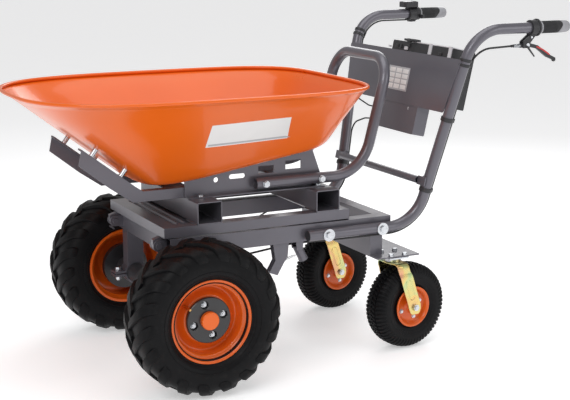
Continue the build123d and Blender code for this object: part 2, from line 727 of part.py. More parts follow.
def leaning(offset, x=0.0):
    """A plane parallel to both leaning tubes, offset forwards from their centre lines."""
    across = math.cos(LEAN_ANGLE)
    along = math.sin(LEAN_ANGLE)
    return Plane(
        origin=(x, HANDLE_LOW_Y - offset * across, HANDLE_LOW_Z + offset * along),
        x_dir=(1, 0, 0),
        z_dir=(0, -across, along),
    )


def up_the_lean(z):
    """Distance up a leaning plane that reaches a height on the tubes' centre lines."""
    return (z - HANDLE_LOW_Z) / math.cos(LEAN_ANGLE)


for name, side in SIDES.items():
    route = [
        (side * TUBE_X, HANDLE_FRONT, HANDLE_LOW_Z),
        (side * TUBE_X, HANDLE_LOW_Y, HANDLE_LOW_Z),
        (side * HANDLE_TOP_X, HANDLE_TOP_Y, HANDLE_TOP_Z),
        (side * HANDLE_TOP_X, HANDLE_REAR - 8, HANDLE_TOP_Z),
    ]
    handle_tube = tube_along(
        route, [HANDLE_BEND, HANDLE_BEND], TUBE_RADIUS, TUBE_RADIUS - TUBE_WALL
    )
    with BuildPart() as handle:
        add(handle_tube)
        for bolt_y in HANDLE_BOLTS_Y:
            with BuildSketch(side_plane(side * RAIL_OUTER_X, bolt_y, HANDLE_LOW_Z)):
                Circle(HANDLE_BOLT_RADIUS + BOLT_CLEARANCE)
            extrude(amount=side * 3 * TUBE_RADIUS, mode=Mode.SUBTRACT)
    save(handle.part, f"handle_{name}")

BRACE_Z = 500.0
BRACE_RADIUS = 11.0
BRACE_TONGUE = 4.0
brace_plane = leaning(TUBE_RADIUS + SEAT_GAP)
brace_up = up_the_lean(BRACE_Z)
brace_reach = handle_x(BRACE_Z)
brace_tube_end = brace_reach - TUBE_RADIUS - 8

with BuildPart() as handle_brace:
    with BuildSketch(brace_plane):
        for side in SIDES.values():
            with Locations((side * (brace_reach - 6), brace_up)):
                Rectangle(40, 26)
    extrude(amount=BRACE_TONGUE)
    middle = leaning(TUBE_RADIUS + SEAT_GAP + BRACE_TONGUE / 2)
    tube_start = Plane(
        origin=middle.from_local_coords((-brace_tube_end, brace_up, 0)), z_dir=(1, 0, 0)
    )
    with BuildSketch(tube_start):
        Circle(BRACE_RADIUS)
        Circle(BRACE_RADIUS - 2, mode=Mode.SUBTRACT)
    extrude(amount=2 * brace_tube_end)
save(handle_brace.part, "handle_brace")

# panel, controller and battery
PANEL_TOP = 857.0
PANEL_BOTTOM = 702.0
PANEL_SHEET = 2.0
PANEL_EDGE = 6.0
panel_back = TUBE_RADIUS + SEAT_GAP
panel_low = up_the_lean(PANEL_BOTTOM)
panel_high = up_the_lean(PANEL_TOP)
low_half = handle_x(PANEL_BOTTOM) - PANEL_EDGE
high_half = handle_x(PANEL_TOP) + PANEL_EDGE

with BuildPart() as panel:
    with BuildSketch(leaning(panel_back)) as panel_shape:
        with BuildLine():
            Polyline(
                (-low_half, panel_low),
                (low_half, panel_low),
                (high_half, panel_high),
                (-high_half, panel_high),
                close=True,
            )
        make_face()
        fillet(panel_shape.vertices(), 8)
    extrude(amount=PANEL_SHEET)
save(panel.part, "panel")

CONTROLLER_SPAN = (-95.0, 145.0)
CONTROLLER_LOW = up_the_lean(620.0)
CONTROLLER_LAP = 15.0
CONTROLLER_DEPTH = 43.0
controller_height = panel_low + CONTROLLER_LAP - CONTROLLER_LOW
controller_width = CONTROLLER_SPAN[1] - CONTROLLER_SPAN[0]

with BuildPart() as controller:
    with BuildSketch(leaning(panel_back - SEAT_GAP)):
        with Locations((sum(CONTROLLER_SPAN) / 2, CONTROLLER_LOW + controller_height / 2)):
            RectangleRounded(controller_width, controller_height, 6)
    extrude(amount=-CONTROLLER_DEPTH)
save(controller.part, "controller")

BATTERY_SPAN = (-66.0, 268.0)
BATTERY_SPLIT = 41.0
BATTERY_TOP = up_the_lean(885.0)
BATTERY_DEPTH = 78.0
LID_SHEET = 3.0
battery_low = CONTROLLER_LOW + controller_height + 1
battery_height = BATTERY_TOP - battery_low
STRAP_WIDTH = 16.0
STRAPS_X = (150.0, 256.0)


def battery_block(low_x, high_x):
    """A block of the battery box between two sideways places, behind the panel."""
    with BuildPart() as block:
        with BuildSketch(leaning(panel_back - SEAT_GAP)):
            with Locations(((low_x + high_x) / 2, battery_low + battery_height / 2)):
                RectangleRounded(high_x - low_x, battery_height, 4)
        extrude(amount=-BATTERY_DEPTH)
    return block.part


save(battery_block(BATTERY_SPLIT + 1, BATTERY_SPAN[1]), "battery_case")

pack_body = battery_block(BATTERY_SPAN[0], BATTERY_SPLIT)
GRAB_WIDTH = 60.0
GRAB_HEIGHT = 12.0
with BuildPart() as battery_pack:
    add(pack_body)
    with BuildSketch(leaning(panel_back - BATTERY_DEPTH / 2 - 6)):
        with Locations((BATTERY_SPAN[0] + 54, BATTERY_TOP + GRAB_HEIGHT / 2)):
            Rectangle(GRAB_WIDTH, GRAB_HEIGHT)
            with Locations((0, -3)):
                Rectangle(GRAB_WIDTH - 16, GRAB_HEIGHT - 6, mode=Mode.SUBTRACT)
    extrude(amount=12)
save(battery_pack.part, "battery_pack")

with BuildPart() as battery_straps:
    with BuildSketch(leaning(panel_back - SEAT_GAP)):
        with Locations(
            ((BATTERY_SPLIT + BATTERY_SPAN[1]) / 2, BATTERY_TOP + LID_SHEET / 2 + SEAT_GAP)
        ):
            Rectangle(BATTERY_SPAN[1] - BATTERY_SPLIT - 4, LID_SHEET)
    extrude(amount=-BATTERY_DEPTH)
    with BuildSketch(leaning(panel_back)):
        for strap_x in STRAPS_X:
            with Locations((strap_x, (panel_high + BATTERY_TOP) / 2 + 2)):
                Rectangle(STRAP_WIDTH, BATTERY_TOP - panel_high + 2 * LID_SHEET - 2)
    extrude(amount=LID_SHEET)
    with BuildSketch(leaning(panel_back - 1)):
        for strap_x in STRAPS_X:
            with Locations((strap_x, BATTERY_TOP + LID_SHEET / 2 + SEAT_GAP)):
                Rectangle(STRAP_WIDTH, LID_SHEET)
    extrude(amount=LID_SHEET)
save(battery_straps.part, "battery_straps")

# grips
GRIP_FRONT = 698.5
GRIP_REAR = 776.0
COLLAR_FRONT = 692.3
GRIP_BORE = TUBE_RADIUS + SEAT_GAP

with BuildPart() as grips:
    for side in SIDES.values():
        start = Plane(origin=(side * HANDLE_TOP_X, GRIP_FRONT, HANDLE_TOP_Z), z_dir=(0, 1, 0))
        with BuildSketch(start):
            Circle(GRIP_RADIUS)
            Circle(GRIP_BORE, mode=Mode.SUBTRACT)
        extrude(amount=GRIP_REAR - GRIP_FRONT)
save(grips.part, "grips")

with BuildPart() as grip_caps:
    for side in SIDES.values():
        collar = Plane(origin=(side * HANDLE_TOP_X, COLLAR_FRONT, HANDLE_TOP_Z), z_dir=(0, 1, 0))
        with BuildSketch(collar):
            Circle(GRIP_RADIUS + 0.5)
            Circle(GRIP_BORE, mode=Mode.SUBTRACT)
        extrude(amount=GRIP_FRONT - COLLAR_FRONT)
        cap_start = Plane(origin=(side * HANDLE_TOP_X, GRIP_REAR, HANDLE_TOP_Z), z_dir=(0, 1, 0))
        with BuildSketch(cap_start):
            Circle(GRIP_RADIUS)
        extrude(amount=HANDLE_REAR - GRIP_REAR)
        with BuildSketch(cap_start):
            Circle(GRIP_BORE)
        extrude(amount=HANDLE_REAR - GRIP_REAR - 7, mode=Mode.SUBTRACT)
    rear_edges = grip_caps.edges().filter_by(GeomType.CIRCLE).group_by(Axis.Y)[-1]
    fillet(rear_edges, 5)
save(grip_caps.part, "grip_caps")

# ---------------------------------------------------------------- brake lever
PERCH_FRONT = 660.0
PERCH_REAR = 680.0
PERCH_RADIUS = 22.5
LEVER_Y = 649.5
LEVER_Z = 896.0
LEVER_WIDTH = 10.0
LEVER_PIN_RADIUS = 3.0
CHEEK = 4.5
cheek_x = LEVER_WIDTH / 2 + SWING_GAP
perch_ring = Plane(origin=(HANDLE_TOP_X, PERCH_FRONT, HANDLE_TOP_Z), z_dir=(0, 1, 0))
cheek_outline = [
    (LEVER_Y - 16, LEVER_Z - 9),
    (LEVER_Y + 7, LEVER_Z - 9),
    (LEVER_Y + 9, LEVER_Z + 6),
    (PERCH_REAR, HANDLE_TOP_Z - PERCH_RADIUS + 4),
    (PERCH_FRONT, HANDLE_TOP_Z - PERCH_RADIUS + 4),
    (LEVER_Y - 16, LEVER_Z + 10),
]
cheeks = []
for hand in (1, -1):
    cheek_plane = side_plane(HANDLE_TOP_X + hand * cheek_x)
    cheeks.append(plate(cheek_plane, cheek_outline, hand * CHEEK))
ADJUSTER_FRONT = 597.0
ADJUSTER_REAR = LEVER_Y - 14

with BuildPart() as brake_perch:
    with BuildSketch(perch_ring):
        Circle(PERCH_RADIUS)
        Circle(GRIP_BORE, mode=Mode.SUBTRACT)
    extrude(amount=PERCH_REAR - PERCH_FRONT)
    add(cheeks)
    with BuildSketch(side_plane(HANDLE_TOP_X - cheek_x - CHEEK, LEVER_Y, LEVER_Z)):
        Circle(LEVER_PIN_RADIUS)
    extrude(amount=2 * (cheek_x + CHEEK))
    with BuildSketch(Plane(origin=(HANDLE_TOP_X, ADJUSTER_REAR, LEVER_Z - 2), z_dir=(0, -1, 0))):
        Circle(6.5)
    extrude(amount=10)
    with BuildSketch(Plane(origin=(HANDLE_TOP_X, ADJUSTER_REAR, LEVER_Z - 2), z_dir=(0, -1, 0))):
        Circle(4)
    extrude(amount=ADJUSTER_REAR - ADJUSTER_FRONT)
save(brake_perch.part, "brake_perch")

LEVER_TIP_Y = 754.5
LEVER_TIP_Z = 849.0
with BuildPart() as brake_lever:
    with BuildSketch(side_plane(HANDLE_TOP_X - LEVER_WIDTH / 2)):
        with BuildLine():
            Polyline(
                (LEVER_Y - 7, LEVER_Z + 5),
                (LEVER_Y + 8, LEVER_Z + 5),
                (LEVER_Y + 40, LEVER_Z - 3),
                (LEVER_TIP_Y - 28, LEVER_TIP_Z + 18),
                (LEVER_TIP_Y, LEVER_TIP_Z + 5),
                (LEVER_TIP_Y - 1, LEVER_TIP_Z - 4),
                (LEVER_TIP_Y - 32, LEVER_TIP_Z + 9),
                (LEVER_Y + 38, LEVER_Z - 13),
                (LEVER_Y + 8, LEVER_Z - 6),
                (LEVER_Y - 7, LEVER_Z - 6),
                close=True,
            )
        make_face()
        with Locations((LEVER_Y, LEVER_Z)):
            Circle(LEVER_PIN_RADIUS + RUNNING_FIT, mode=Mode.SUBTRACT)
    extrude(amount=LEVER_WIDTH)
save(brake_lever.part, "brake_lever")

# ---------------------------------------------------------------- display and thumb throttle
CLAMP_FRONT = 650.0
CLAMP_REAR = 684.0
CLAMP_RADIUS = 22.0
DISPLAY_TOP = 985.0
DISPLAY_WIDTH = 44.0
DISPLAY_LENGTH = 54.0
DISPLAY_Y = (CLAMP_FRONT + CLAMP_REAR) / 2 - 11
DISPLAY_LOW = HANDLE_TOP_Z + CLAMP_RADIUS

with BuildPart() as display:
    with BuildSketch(Plane.XY.offset(DISPLAY_LOW)):
        with Locations((-HANDLE_TOP_X, DISPLAY_Y)):
            RectangleRounded(DISPLAY_WIDTH, DISPLAY_LENGTH, 9)
    extrude(amount=DISPLAY_TOP - DISPLAY_LOW)
    fillet(display.edges().group_by(Axis.Z)[-1], 3)
save(display.part, "display")

throttle_ring = Plane(origin=(-HANDLE_TOP_X, CLAMP_FRONT, HANDLE_TOP_Z), z_dir=(0, 1, 0))
with BuildPart() as throttle_body:
    with BuildSketch(throttle_ring):
        Circle(CLAMP_RADIUS)
        Circle(GRIP_BORE, mode=Mode.SUBTRACT)
    extrude(amount=CLAMP_REAR - CLAMP_FRONT)
save(throttle_body.part, "throttle_body")

THUMB_GAP = 0.3
THUMB_RADIUS = 21.5
THUMB_REACH = 44.0
thumb_front = CLAMP_REAR + THUMB_GAP
thumb_rear = COLLAR_FRONT - THUMB_GAP
thumb_plane = Plane(
    origin=(-HANDLE_TOP_X, thumb_front, HANDLE_TOP_Z), x_dir=(1, 0, 0), z_dir=(0, 1, 0)
)
with BuildPart() as throttle_lever:
    with BuildSketch(thumb_plane):
        Circle(THUMB_RADIUS)
        with Locations((THUMB_REACH / 2 + 6, 8)):
            RectangleRounded(THUMB_REACH - 12, 11, 5)
        Circle(TUBE_RADIUS + 0.4, mode=Mode.SUBTRACT)
    extrude(amount=thumb_rear - thumb_front)
save(throttle_lever.part, "throttle_lever")

# ---------------------------------------------------------------- cables and their clips
run_length = math.sqrt(1 + LEAN**2 + SPLAY**2)
back_share = LEAN / run_length
side_share = SPLAY / math.hypot(1, SPLAY)
up_share = 1 / math.hypot(1, SPLAY)
corner_back = CABLE_OFFSET * (1 - back_share) / math.sqrt(1 - back_share**2)


def beside_tube(side, z):
    """A point behind a leaning tube, where its cable runs, level with a height on the tube."""
    along = Vector(side * SPLAY, LEAN, 1).normalized()
    rear = (Vector(0, 1, 0) - along * along.Y).normalized()
    return Vector(side * handle_x(z), handle_y(z), z) + rear * CABLE_OFFSET


def cable_corner(side, x, y, z):
    """Where the cable's straight runs would meet beside a corner of the handle's route."""
    return Vector(
        side * (x - CABLE_OFFSET * side_share), y + corner_back, z - CABLE_OFFSET * up_share
    )


LOW_CORNER = (TUBE_X, HANDLE_LOW_Y, HANDLE_LOW_Z)
TOP_CORNER = (HANDLE_TOP_X, HANDLE_TOP_Y, HANDLE_TOP_Z)
low_left = cable_corner(1, *LOW_CORNER)
low_right = cable_corner(-1, *LOW_CORNER)
top_right = cable_corner(-1, *TOP_CORNER)

brake_route = [
    (HANDLE_TOP_X, ADJUSTER_FRONT - 0.5, LEVER_Z - 2),
    beside_tube(1, 892),
    low_left,
    (low_left.X, 100, low_left.Z),
    (150, -20, 335),
    (150, -240, 310),
    (225, -325, 275),
    (HOUSING_END - 2, -345, 255),
]
brake_radii = [70, 130, 60, 80, 60, 25]
save(tube_along(brake_route, brake_radii, CABLE_RADIUS), "brake_cable")

display_route = [
    (top_right.X, CLAMP_FRONT, top_right.Z),
    top_right,
    beside_tube(-1, 690),
    (-190, 427, 668),
    (CONTROLLER_SPAN[0] - 0.5, 414, 674),
]
motor_route = [
    (CONTROLLER_SPAN[0] - 0.5, 404, 640),
    (-190, 412, 628),
    beside_tube(-1, 606),
    low_right,
    (low_right.X, 100, low_right.Z),
    (-150, -20, 335),
    (-60, -100, 300),
    (-30, MOTOR_FRONT + MOTOR_LENGTH + 2, 240),
]
display_loom = tube_along(display_route, [90, 40, 60], LOOM_RADIUS)
motor_loom = tube_along(motor_route, [60, 40, 130, 60, 60, 40], LOOM_RADIUS)
with BuildPart() as wiring_loom:
    add([display_loom, motor_loom])
save(wiring_loom.part, "wiring_loom")

CLIP_WIDTH = 12.0
CLIP_WALL = 3.0
CLIPS = [(1, 686.0, CABLE_RADIUS), (1, 478.0, CABLE_RADIUS), (-1, 478.0, LOOM_RADIUS)]
clip_pieces = []
for side, clip_z, held in CLIPS:
    lead = Vector(side * SPLAY, LEAN, 1).normalized()
    tube_centre = Vector(side * handle_x(clip_z), handle_y(clip_z), clip_z)
    rearward = (Vector(0, 1, 0) - lead * lead.Y).normalized()
    band = Plane(origin=tube_centre, x_dir=rearward, z_dir=lead)
    with BuildPart() as clip:
        with BuildSketch(band):
            Circle(GRIP_BORE + CLIP_WALL)
            with Locations((CABLE_OFFSET, 0)):
                Circle(held + CLIP_WALL)
            Circle(GRIP_BORE, mode=Mode.SUBTRACT)
            with Locations((CABLE_OFFSET, 0)):
                Circle(held + SEAT_GAP, mode=Mode.SUBTRACT)
        extrude(amount=CLIP_WIDTH / 2, both=True)
    clip_pieces.append(clip.part)
with BuildPart() as cable_clips:
    add(clip_pieces)
save(cable_clips.part, "cable_clips")

# ---------------------------------------------------------------- tray latch
PEDAL_X = 198.0
PEDAL_Y = -30.0
PEDAL_Z = 338.0
PEDAL_RADIUS = 13.5
PEDAL_PIN_RADIUS = 4.0
PEDAL_BELOW = 46.0
PEDAL_ABOVE = 6.0
PEDAL_TILT = 26.6
LATCH_SHEET = 3.0
pedal_half = PEDAL_RADIUS + SWING_GAP
bracket_outline = [
    (-112, RAIL_BOTTOM),
    (-62, RAIL_BOTTOM),
    (-66, 312),
    (-78, 296),
    (-98, 262),
    (-124, 272),
    (-104, 306),
]
bracket_cheeks = []
for bracket_x in (186.0, 206.0):
    bracket_cheeks.append(plate(side_plane(bracket_x), bracket_outline, LATCH_SHEET))
ear_outline = [
    (PEDAL_Y - 12, RAIL_BOTTOM),
    (PEDAL_Y + 12, RAIL_BOTTOM),
    (PEDAL_Y + 9, PEDAL_Z - 8),
    (PEDAL_Y - 9, PEDAL_Z - 8),
]
pedal_ears = [
    plate(side_plane(PEDAL_X + pedal_half), ear_outline, LATCH_SHEET),
    plate(side_plane(PEDAL_X - pedal_half), ear_outline, -LATCH_SHEET),
]
with BuildPart() as latch_bracket:
    add(bracket_cheeks)
    add(pedal_ears)
    with BuildSketch(side_plane(186.0 + LATCH_SHEET)):
        with BuildLine():
            Polyline(
                (-108, RAIL_BOTTOM), (-84, RAIL_BOTTOM), (-84, 306), (-102, 276), (-118, 274),
                (-102, 306), close=True,
            )
        make_face()
    extrude(amount=20 - LATCH_SHEET)
    with BuildSketch(side_plane(PEDAL_X - pedal_half - LATCH_SHEET, PEDAL_Y, PEDAL_Z)):
        Circle(PEDAL_PIN_RADIUS)
    extrude(amount=2 * (pedal_half + LATCH_SHEET))
save(latch_bracket.part, "latch_bracket")

tilt = math.radians(PEDAL_TILT)
pedal_down = Vector(0, math.sin(tilt), -math.cos(tilt))
pedal_origin = Vector(PEDAL_X, PEDAL_Y, PEDAL_Z) - pedal_down * PEDAL_ABOVE
with BuildPart() as latch_pedal:
    with BuildSketch(Plane(origin=pedal_origin, z_dir=pedal_down)):
        Circle(PEDAL_RADIUS)
        Circle(PEDAL_RADIUS - TUBE_WALL, mode=Mode.SUBTRACT)
    extrude(amount=PEDAL_ABOVE + PEDAL_BELOW)
    with BuildSketch(side_plane(PEDAL_X, PEDAL_Y, PEDAL_Z)):
        Circle(PEDAL_PIN_RADIUS + RUNNING_FIT)
    extrude(amount=2 * PEDAL_RADIUS, both=True, mode=Mode.SUBTRACT)
save(latch_pedal.part, "latch_pedal")

spring_end = Vector(PEDAL_X, PEDAL_Y, PEDAL_Z) + pedal_down * 22
spring_end = spring_end - Vector(0, math.cos(tilt), math.sin(tilt)) * (PEDAL_RADIUS + 0.3)
spring_start = Vector(PEDAL_X, -83.9, 299.4)
spring_axis = spring_end - spring_start
with BuildPart() as latch_spring:
    with BuildSketch(Plane(origin=spring_start, z_dir=spring_axis)):
        Circle(4.5)
        Circle(3, mode=Mode.SUBTRACT)
    extrude(amount=spring_axis.length - 1)
save(latch_spring.part, "latch_spring")

# ---------------------------------------------------------------- tray
TRAY_HALF = RAIL_OUTER_X
FLANGE_EDGE = TRAY_HALF - TRAY_FLANGE
SIDE_START = TRAY_FRONT + TRAY_FLANGE
SIDE_END = TRAY_REAR - TRAY_FLANGE
REST_GAP = 0.3

with BuildPart() as tray_sides:
    with BuildSketch(Plane.XZ.offset(-SIDE_START)):
        for side in SIDES.values():
            with Locations((side * (TRAY_HALF - TRAY_SHEET / 2), (TRAY_BOTTOM + TRAY_TOP) / 2)):
                Rectangle(TRAY_SHEET, TRAY_TOP - TRAY_BOTTOM)
            with Locations((side * (TRAY_HALF - TRAY_FLANGE / 2), TRAY_TOP - TRAY_SHEET / 2)):
                Rectangle(TRAY_FLANGE, TRAY_SHEET)
    extrude(amount=-(SIDE_END - SIDE_START))
save(tray_sides.part, "tray_sides")

hinge_lugs = []
for side in SIDES.values():
    lug_inner = side_plane(side * (HINGE_X - HINGE_LUG_WIDTH / 2))
    lug_outline = [
        (HINGE_Y - LUG_RADIUS, HINGE_Z),
        (HINGE_Y + LUG_RADIUS, HINGE_Z),
        (HINGE_Y + LUG_RADIUS, TRAY_BOTTOM),
        (HINGE_Y + LUG_RADIUS + 6, TRAY_TOP - TRAY_SHEET),
        (TRAY_FRONT + TRAY_SHEET, TRAY_TOP - TRAY_SHEET),
        (TRAY_FRONT + TRAY_SHEET, TRAY_BOTTOM),
        (HINGE_Y - LUG_RADIUS, TRAY_BOTTOM - 8),
    ]
    hinge_lugs.append(plate(lug_inner, lug_outline, side * HINGE_LUG_WIDTH))

with BuildPart() as tray_ends:
    for outer, inward, low in (
        (TRAY_FRONT, 1, TRAY_BOTTOM),
        (TRAY_REAR, -1, RAIL_TOP + REST_GAP),
    ):
        with BuildSketch(side_plane(-TRAY_HALF)):
            with Locations((outer + inward * TRAY_SHEET / 2, (low + TRAY_TOP) / 2)):
                Rectangle(TRAY_SHEET, TRAY_TOP - low)
            with Locations((outer + inward * TRAY_FLANGE / 2, TRAY_TOP - TRAY_SHEET / 2)):
                Rectangle(TRAY_FLANGE, TRAY_SHEET)
        extrude(amount=2 * TRAY_HALF)
        for side in SIDES.values():
            with BuildSketch(side_plane(side * TRAY_HALF)):
                with Locations((outer + inward * TRAY_FLANGE / 2, (TRAY_BOTTOM + TRAY_TOP) / 2)):
                    Rectangle(TRAY_FLANGE, TRAY_TOP - TRAY_BOTTOM)
            extrude(amount=-side * TRAY_SHEET)
    add(hinge_lugs)
    for side in SIDES.values():
        lug_plane = side_plane(side * (HINGE_X - HINGE_LUG_WIDTH / 2), HINGE_Y, HINGE_Z)
        with BuildSketch(lug_plane):
            Circle(LUG_RADIUS)
        extrude(amount=side * HINGE_LUG_WIDTH)
        with BuildSketch(lug_plane):
            Circle(HINGE_PIN_RADIUS + RUNNING_FIT)
        extrude(amount=side * HINGE_LUG_WIDTH, mode=Mode.SUBTRACT)
save(tray_ends.part, "tray_ends")

FLOOR_REAR = -262.0
RIBS_Y = (-388.0, -366.0)
RIB_WIDTH = 10.0
RIB_HEIGHT = 7.0
FLOOR_TOP = TRAY_TOP - TRAY_SHEET
floor_half = TRAY_HALF - TRAY_SHEET
floor_front = SIDE_START

with BuildPart() as tray_floor:
    with BuildSketch(Plane.XY.offset(FLOOR_TOP)):
        with Locations((0, (floor_front + FLOOR_REAR) / 2)):
            Rectangle(2 * floor_half, FLOOR_REAR - floor_front)
        with Locations((0, (TRAY_FRONT + TRAY_SHEET + floor_front) / 2)):
            Rectangle(2 * 150, floor_front - TRAY_FRONT - TRAY_SHEET)
    extrude(amount=-FLOOR_SHEET)
    with BuildSketch(side_plane(-FLANGE_EDGE + 4)):
        for rib_y in RIBS_Y:
            with BuildLine():
                Polyline(
                    (rib_y - RIB_WIDTH / 2, FLOOR_TOP),
                    (rib_y - RIB_WIDTH / 4, FLOOR_TOP + RIB_HEIGHT),
                    (rib_y + RIB_WIDTH / 4, FLOOR_TOP + RIB_HEIGHT),
                    (rib_y + RIB_WIDTH / 2, FLOOR_TOP),
                    close=True,
                )
            make_face()
    extrude(amount=2 * (FLANGE_EDGE - 4))
save(tray_floor.part, "tray_floor")

POCKET_TOP = TRAY_TOP + POCKET_HEIGHT
for name, (front, rear) in POCKET_SPANS.items():
    with BuildPart() as pocket:
        with BuildSketch(side_plane(-TRAY_HALF)):
            with Locations(((front + rear) / 2, (TRAY_TOP + POCKET_TOP) / 2)):
                RectangleRounded(rear - front, POCKET_HEIGHT, 5)
                RectangleRounded(
                    rear - front - 2 * POCKET_WALL,
                    POCKET_HEIGHT - 2 * POCKET_WALL,
                    2,
                    mode=Mode.SUBTRACT,
                )
        extrude(amount=2 * TRAY_HALF)
    save(pocket.part, f"pocket_{name}")


# ---------------------------------------------------------------- tub
def floor_height(y):
    """Underside of the tub's floor, which rises towards the back."""
    return FLOOR_Z + FLOOR_SLOPE * (y - FLOOR_Z_AT_Y)


FLOOR_TILT = math.atan(FLOOR_SLOPE)
ALONG_FLOOR = 1 / math.cos(FLOOR_TILT)


def tub_body(inset, lift, top):
    """The tub's form as a solid, drawn in by an inset and with its floor lifted."""
    floor_plane = Plane(
        origin=(0, FLOOR_MIDDLE_Y, floor_height(FLOOR_MIDDLE_Y) + lift),
        x_dir=(1, 0, 0),
        z_dir=(0, -math.sin(FLOOR_TILT), math.cos(FLOOR_TILT)),
    )
    floor_outline = superellipse(
        FLOOR_HALF_X - inset,
        0,
        (FLOOR_FRONT_LENGTH - inset) * ALONG_FLOOR,
        (FLOOR_REAR_LENGTH - inset) * ALONG_FLOOR,
        FLOOR_POWER,
        FLOOR_POWER,
    )
    rim_outline = superellipse(
        RIM_HALF_X - inset,
        RIM_MIDDLE_Y,
        RIM_FRONT_LENGTH - inset,
        RIM_REAR_LENGTH - inset,
        RIM_FRONT_POWER,
        RIM_REAR_POWER,
    )
    with BuildPart() as body:
        with BuildSketch(floor_plane):
            with BuildLine():
                Spline(*floor_outline, periodic=True)
            make_face()
        with BuildSketch(Plane.XY.offset(top)):
            with BuildLine():
                Spline(*rim_outline, periodic=True)
            make_face()
        loft()
        fillet(body.faces().sort_by(Axis.Z)[0].edges(), TUB_CORNER - inset)
    return body.part


tub_outside = tub_body(0, 0, RIM_Z)
tub_inside = tub_body(TUB_SHEET, TUB_SHEET, RIM_Z + 0.5)


def rim_sketch(grow):
    """Points of the rim's outline, drawn out by a distance."""
    return superellipse(
        RIM_HALF_X + grow,
        RIM_MIDDLE_Y,
        RIM_FRONT_LENGTH + grow,
        RIM_REAR_LENGTH + grow,
        RIM_FRONT_POWER,
        RIM_REAR_POWER,
    )


with BuildPart() as tub:
    add(tub_outside)
    add(tub_inside, mode=Mode.SUBTRACT)
    with BuildSketch(Plane.XY.offset(RIM_Z - RIM_BEAD)):
        with BuildLine():
            Spline(*rim_sketch(RIM_BEAD), periodic=True)
        make_face()
        with BuildLine():
            Spline(*rim_sketch(-RIM_BEAD), periodic=True)
        make_face(mode=Mode.SUBTRACT)
    extrude(amount=2 * RIM_BEAD)
    fillet(tub.edges().group_by(Axis.Z)[-1], RIM_BEAD * 0.6)
save(tub.part, "tub")

# ---------------------------------------------------------------- plates and arms under the tub
TUB_SEAT = 0.3
HOOP_BOLT_RADIUS = 5.0


def under_tub(y):
    """The height that the side plates reach below the tub's floor."""
    return floor_height(y) - TUB_SEAT


plate_outline = [
    (PLATE_FRONT, POCKET_TOP),
    (PLATE_REAR, POCKET_TOP),
    (PLATE_REAR, HOOP_Z + 8),
    (PLATE_REAR - 30, under_tub(PLATE_REAR - 30)),
    (PLATE_FRONT, under_tub(PLATE_FRONT)),
]
SLOT_Y = -190.0
SLOT_Z = 545.0
WINDOW_SPANS = ((-124.0, -76.0, 546.0, 568.0), (-38.0, 12.0, 552.0, 578.0))
web_plates = []
for side in SIDES.values():
    web_inner = side_plane(side * (PLATE_OUTER_X - PLATE_SHEET))
    web_plates.append(plate(web_inner, plate_outline, side * PLATE_SHEET))
with BuildPart() as side_plates:
    add(web_plates)
    for side in SIDES.values():
        web_inner = side_plane(side * (PLATE_OUTER_X - PLATE_SHEET))
        with BuildSketch(web_inner):
            with Locations((PLATE_HOLE_Y, PLATE_HOLE_Z)):
                Circle(PLATE_HOLE_RADIUS)
            with Locations((SLOT_Y, SLOT_Z)):
                SlotOverall(50, 14)
            for low_y, high_y, low_z, high_z in WINDOW_SPANS:
                with Locations(((low_y + high_y) / 2, (low_z + high_z) / 2)):
                    Rectangle(high_y - low_y, high_z - low_z)
            for bolt_y in HOOP_BOLTS_Y:
                with Locations((bolt_y, HOOP_Z)):
                    Circle(HOOP_BOLT_RADIUS + BOLT_CLEARANCE)
        extrude(amount=side * PLATE_SHEET, mode=Mode.SUBTRACT)
        with BuildSketch(Plane.XY.offset(POCKET_TOP)):
            with Locations(
                (side * (PLATE_OUTER_X + PLATE_FLANGE / 2), (PLATE_FRONT + PLATE_REAR) / 2)
            ):
                Rectangle(PLATE_FLANGE, PLATE_REAR - PLATE_FRONT)
        extrude(amount=PLATE_FLANGE_SHEET)
save(side_plates.part, "side_plates")

ARM_TIP = (-641.5, 655.0)
ARM_KNEE = (-491.0, 540.0)
ARM_TOP = 526.0
ARM_REAR = -300.0
ARM_FACE_X = PLATE_OUTER_X - PLATE_SHEET - TUB_SEAT
arm_outline = [
    ARM_TIP,
    ARM_KNEE,
    (ARM_KNEE[0] + 21, ARM_TOP),
    (ARM_REAR, ARM_TOP),
    (ARM_REAR, POCKET_TOP),
    (ARM_KNEE[0] - 9, POCKET_TOP),
    (ARM_KNEE[0] - 73, ARM_KNEE[1] + 1),
    (ARM_TIP[0] - 9, ARM_TIP[1] - 45),
]
arm_flange_outline = [
    ARM_TIP,
    ARM_KNEE,
    (ARM_KNEE[0] + 21, ARM_TOP),
    (ARM_REAR, ARM_TOP),
    (ARM_REAR, ARM_TOP - ARM_SHEET),
    (ARM_KNEE[0] + 19, ARM_TOP - ARM_SHEET),
    (ARM_KNEE[0] - 3, ARM_KNEE[1] - ARM_SHEET),
    (ARM_TIP[0] - 3, ARM_TIP[1] - ARM_SHEET),
]
arm_pieces = []
for side in SIDES.values():
    arm_pieces.append(plate(side_plane(side * ARM_FACE_X), arm_outline, -side * ARM_SHEET))
    arm_pieces.append(
        plate(side_plane(side * ARM_FACE_X), arm_flange_outline, -side * (ARM_SHEET + ARM_FLANGE))
    )
with BuildPart() as tub_arms:
    add(arm_pieces)
save(tub_arms.part, "tub_arms")

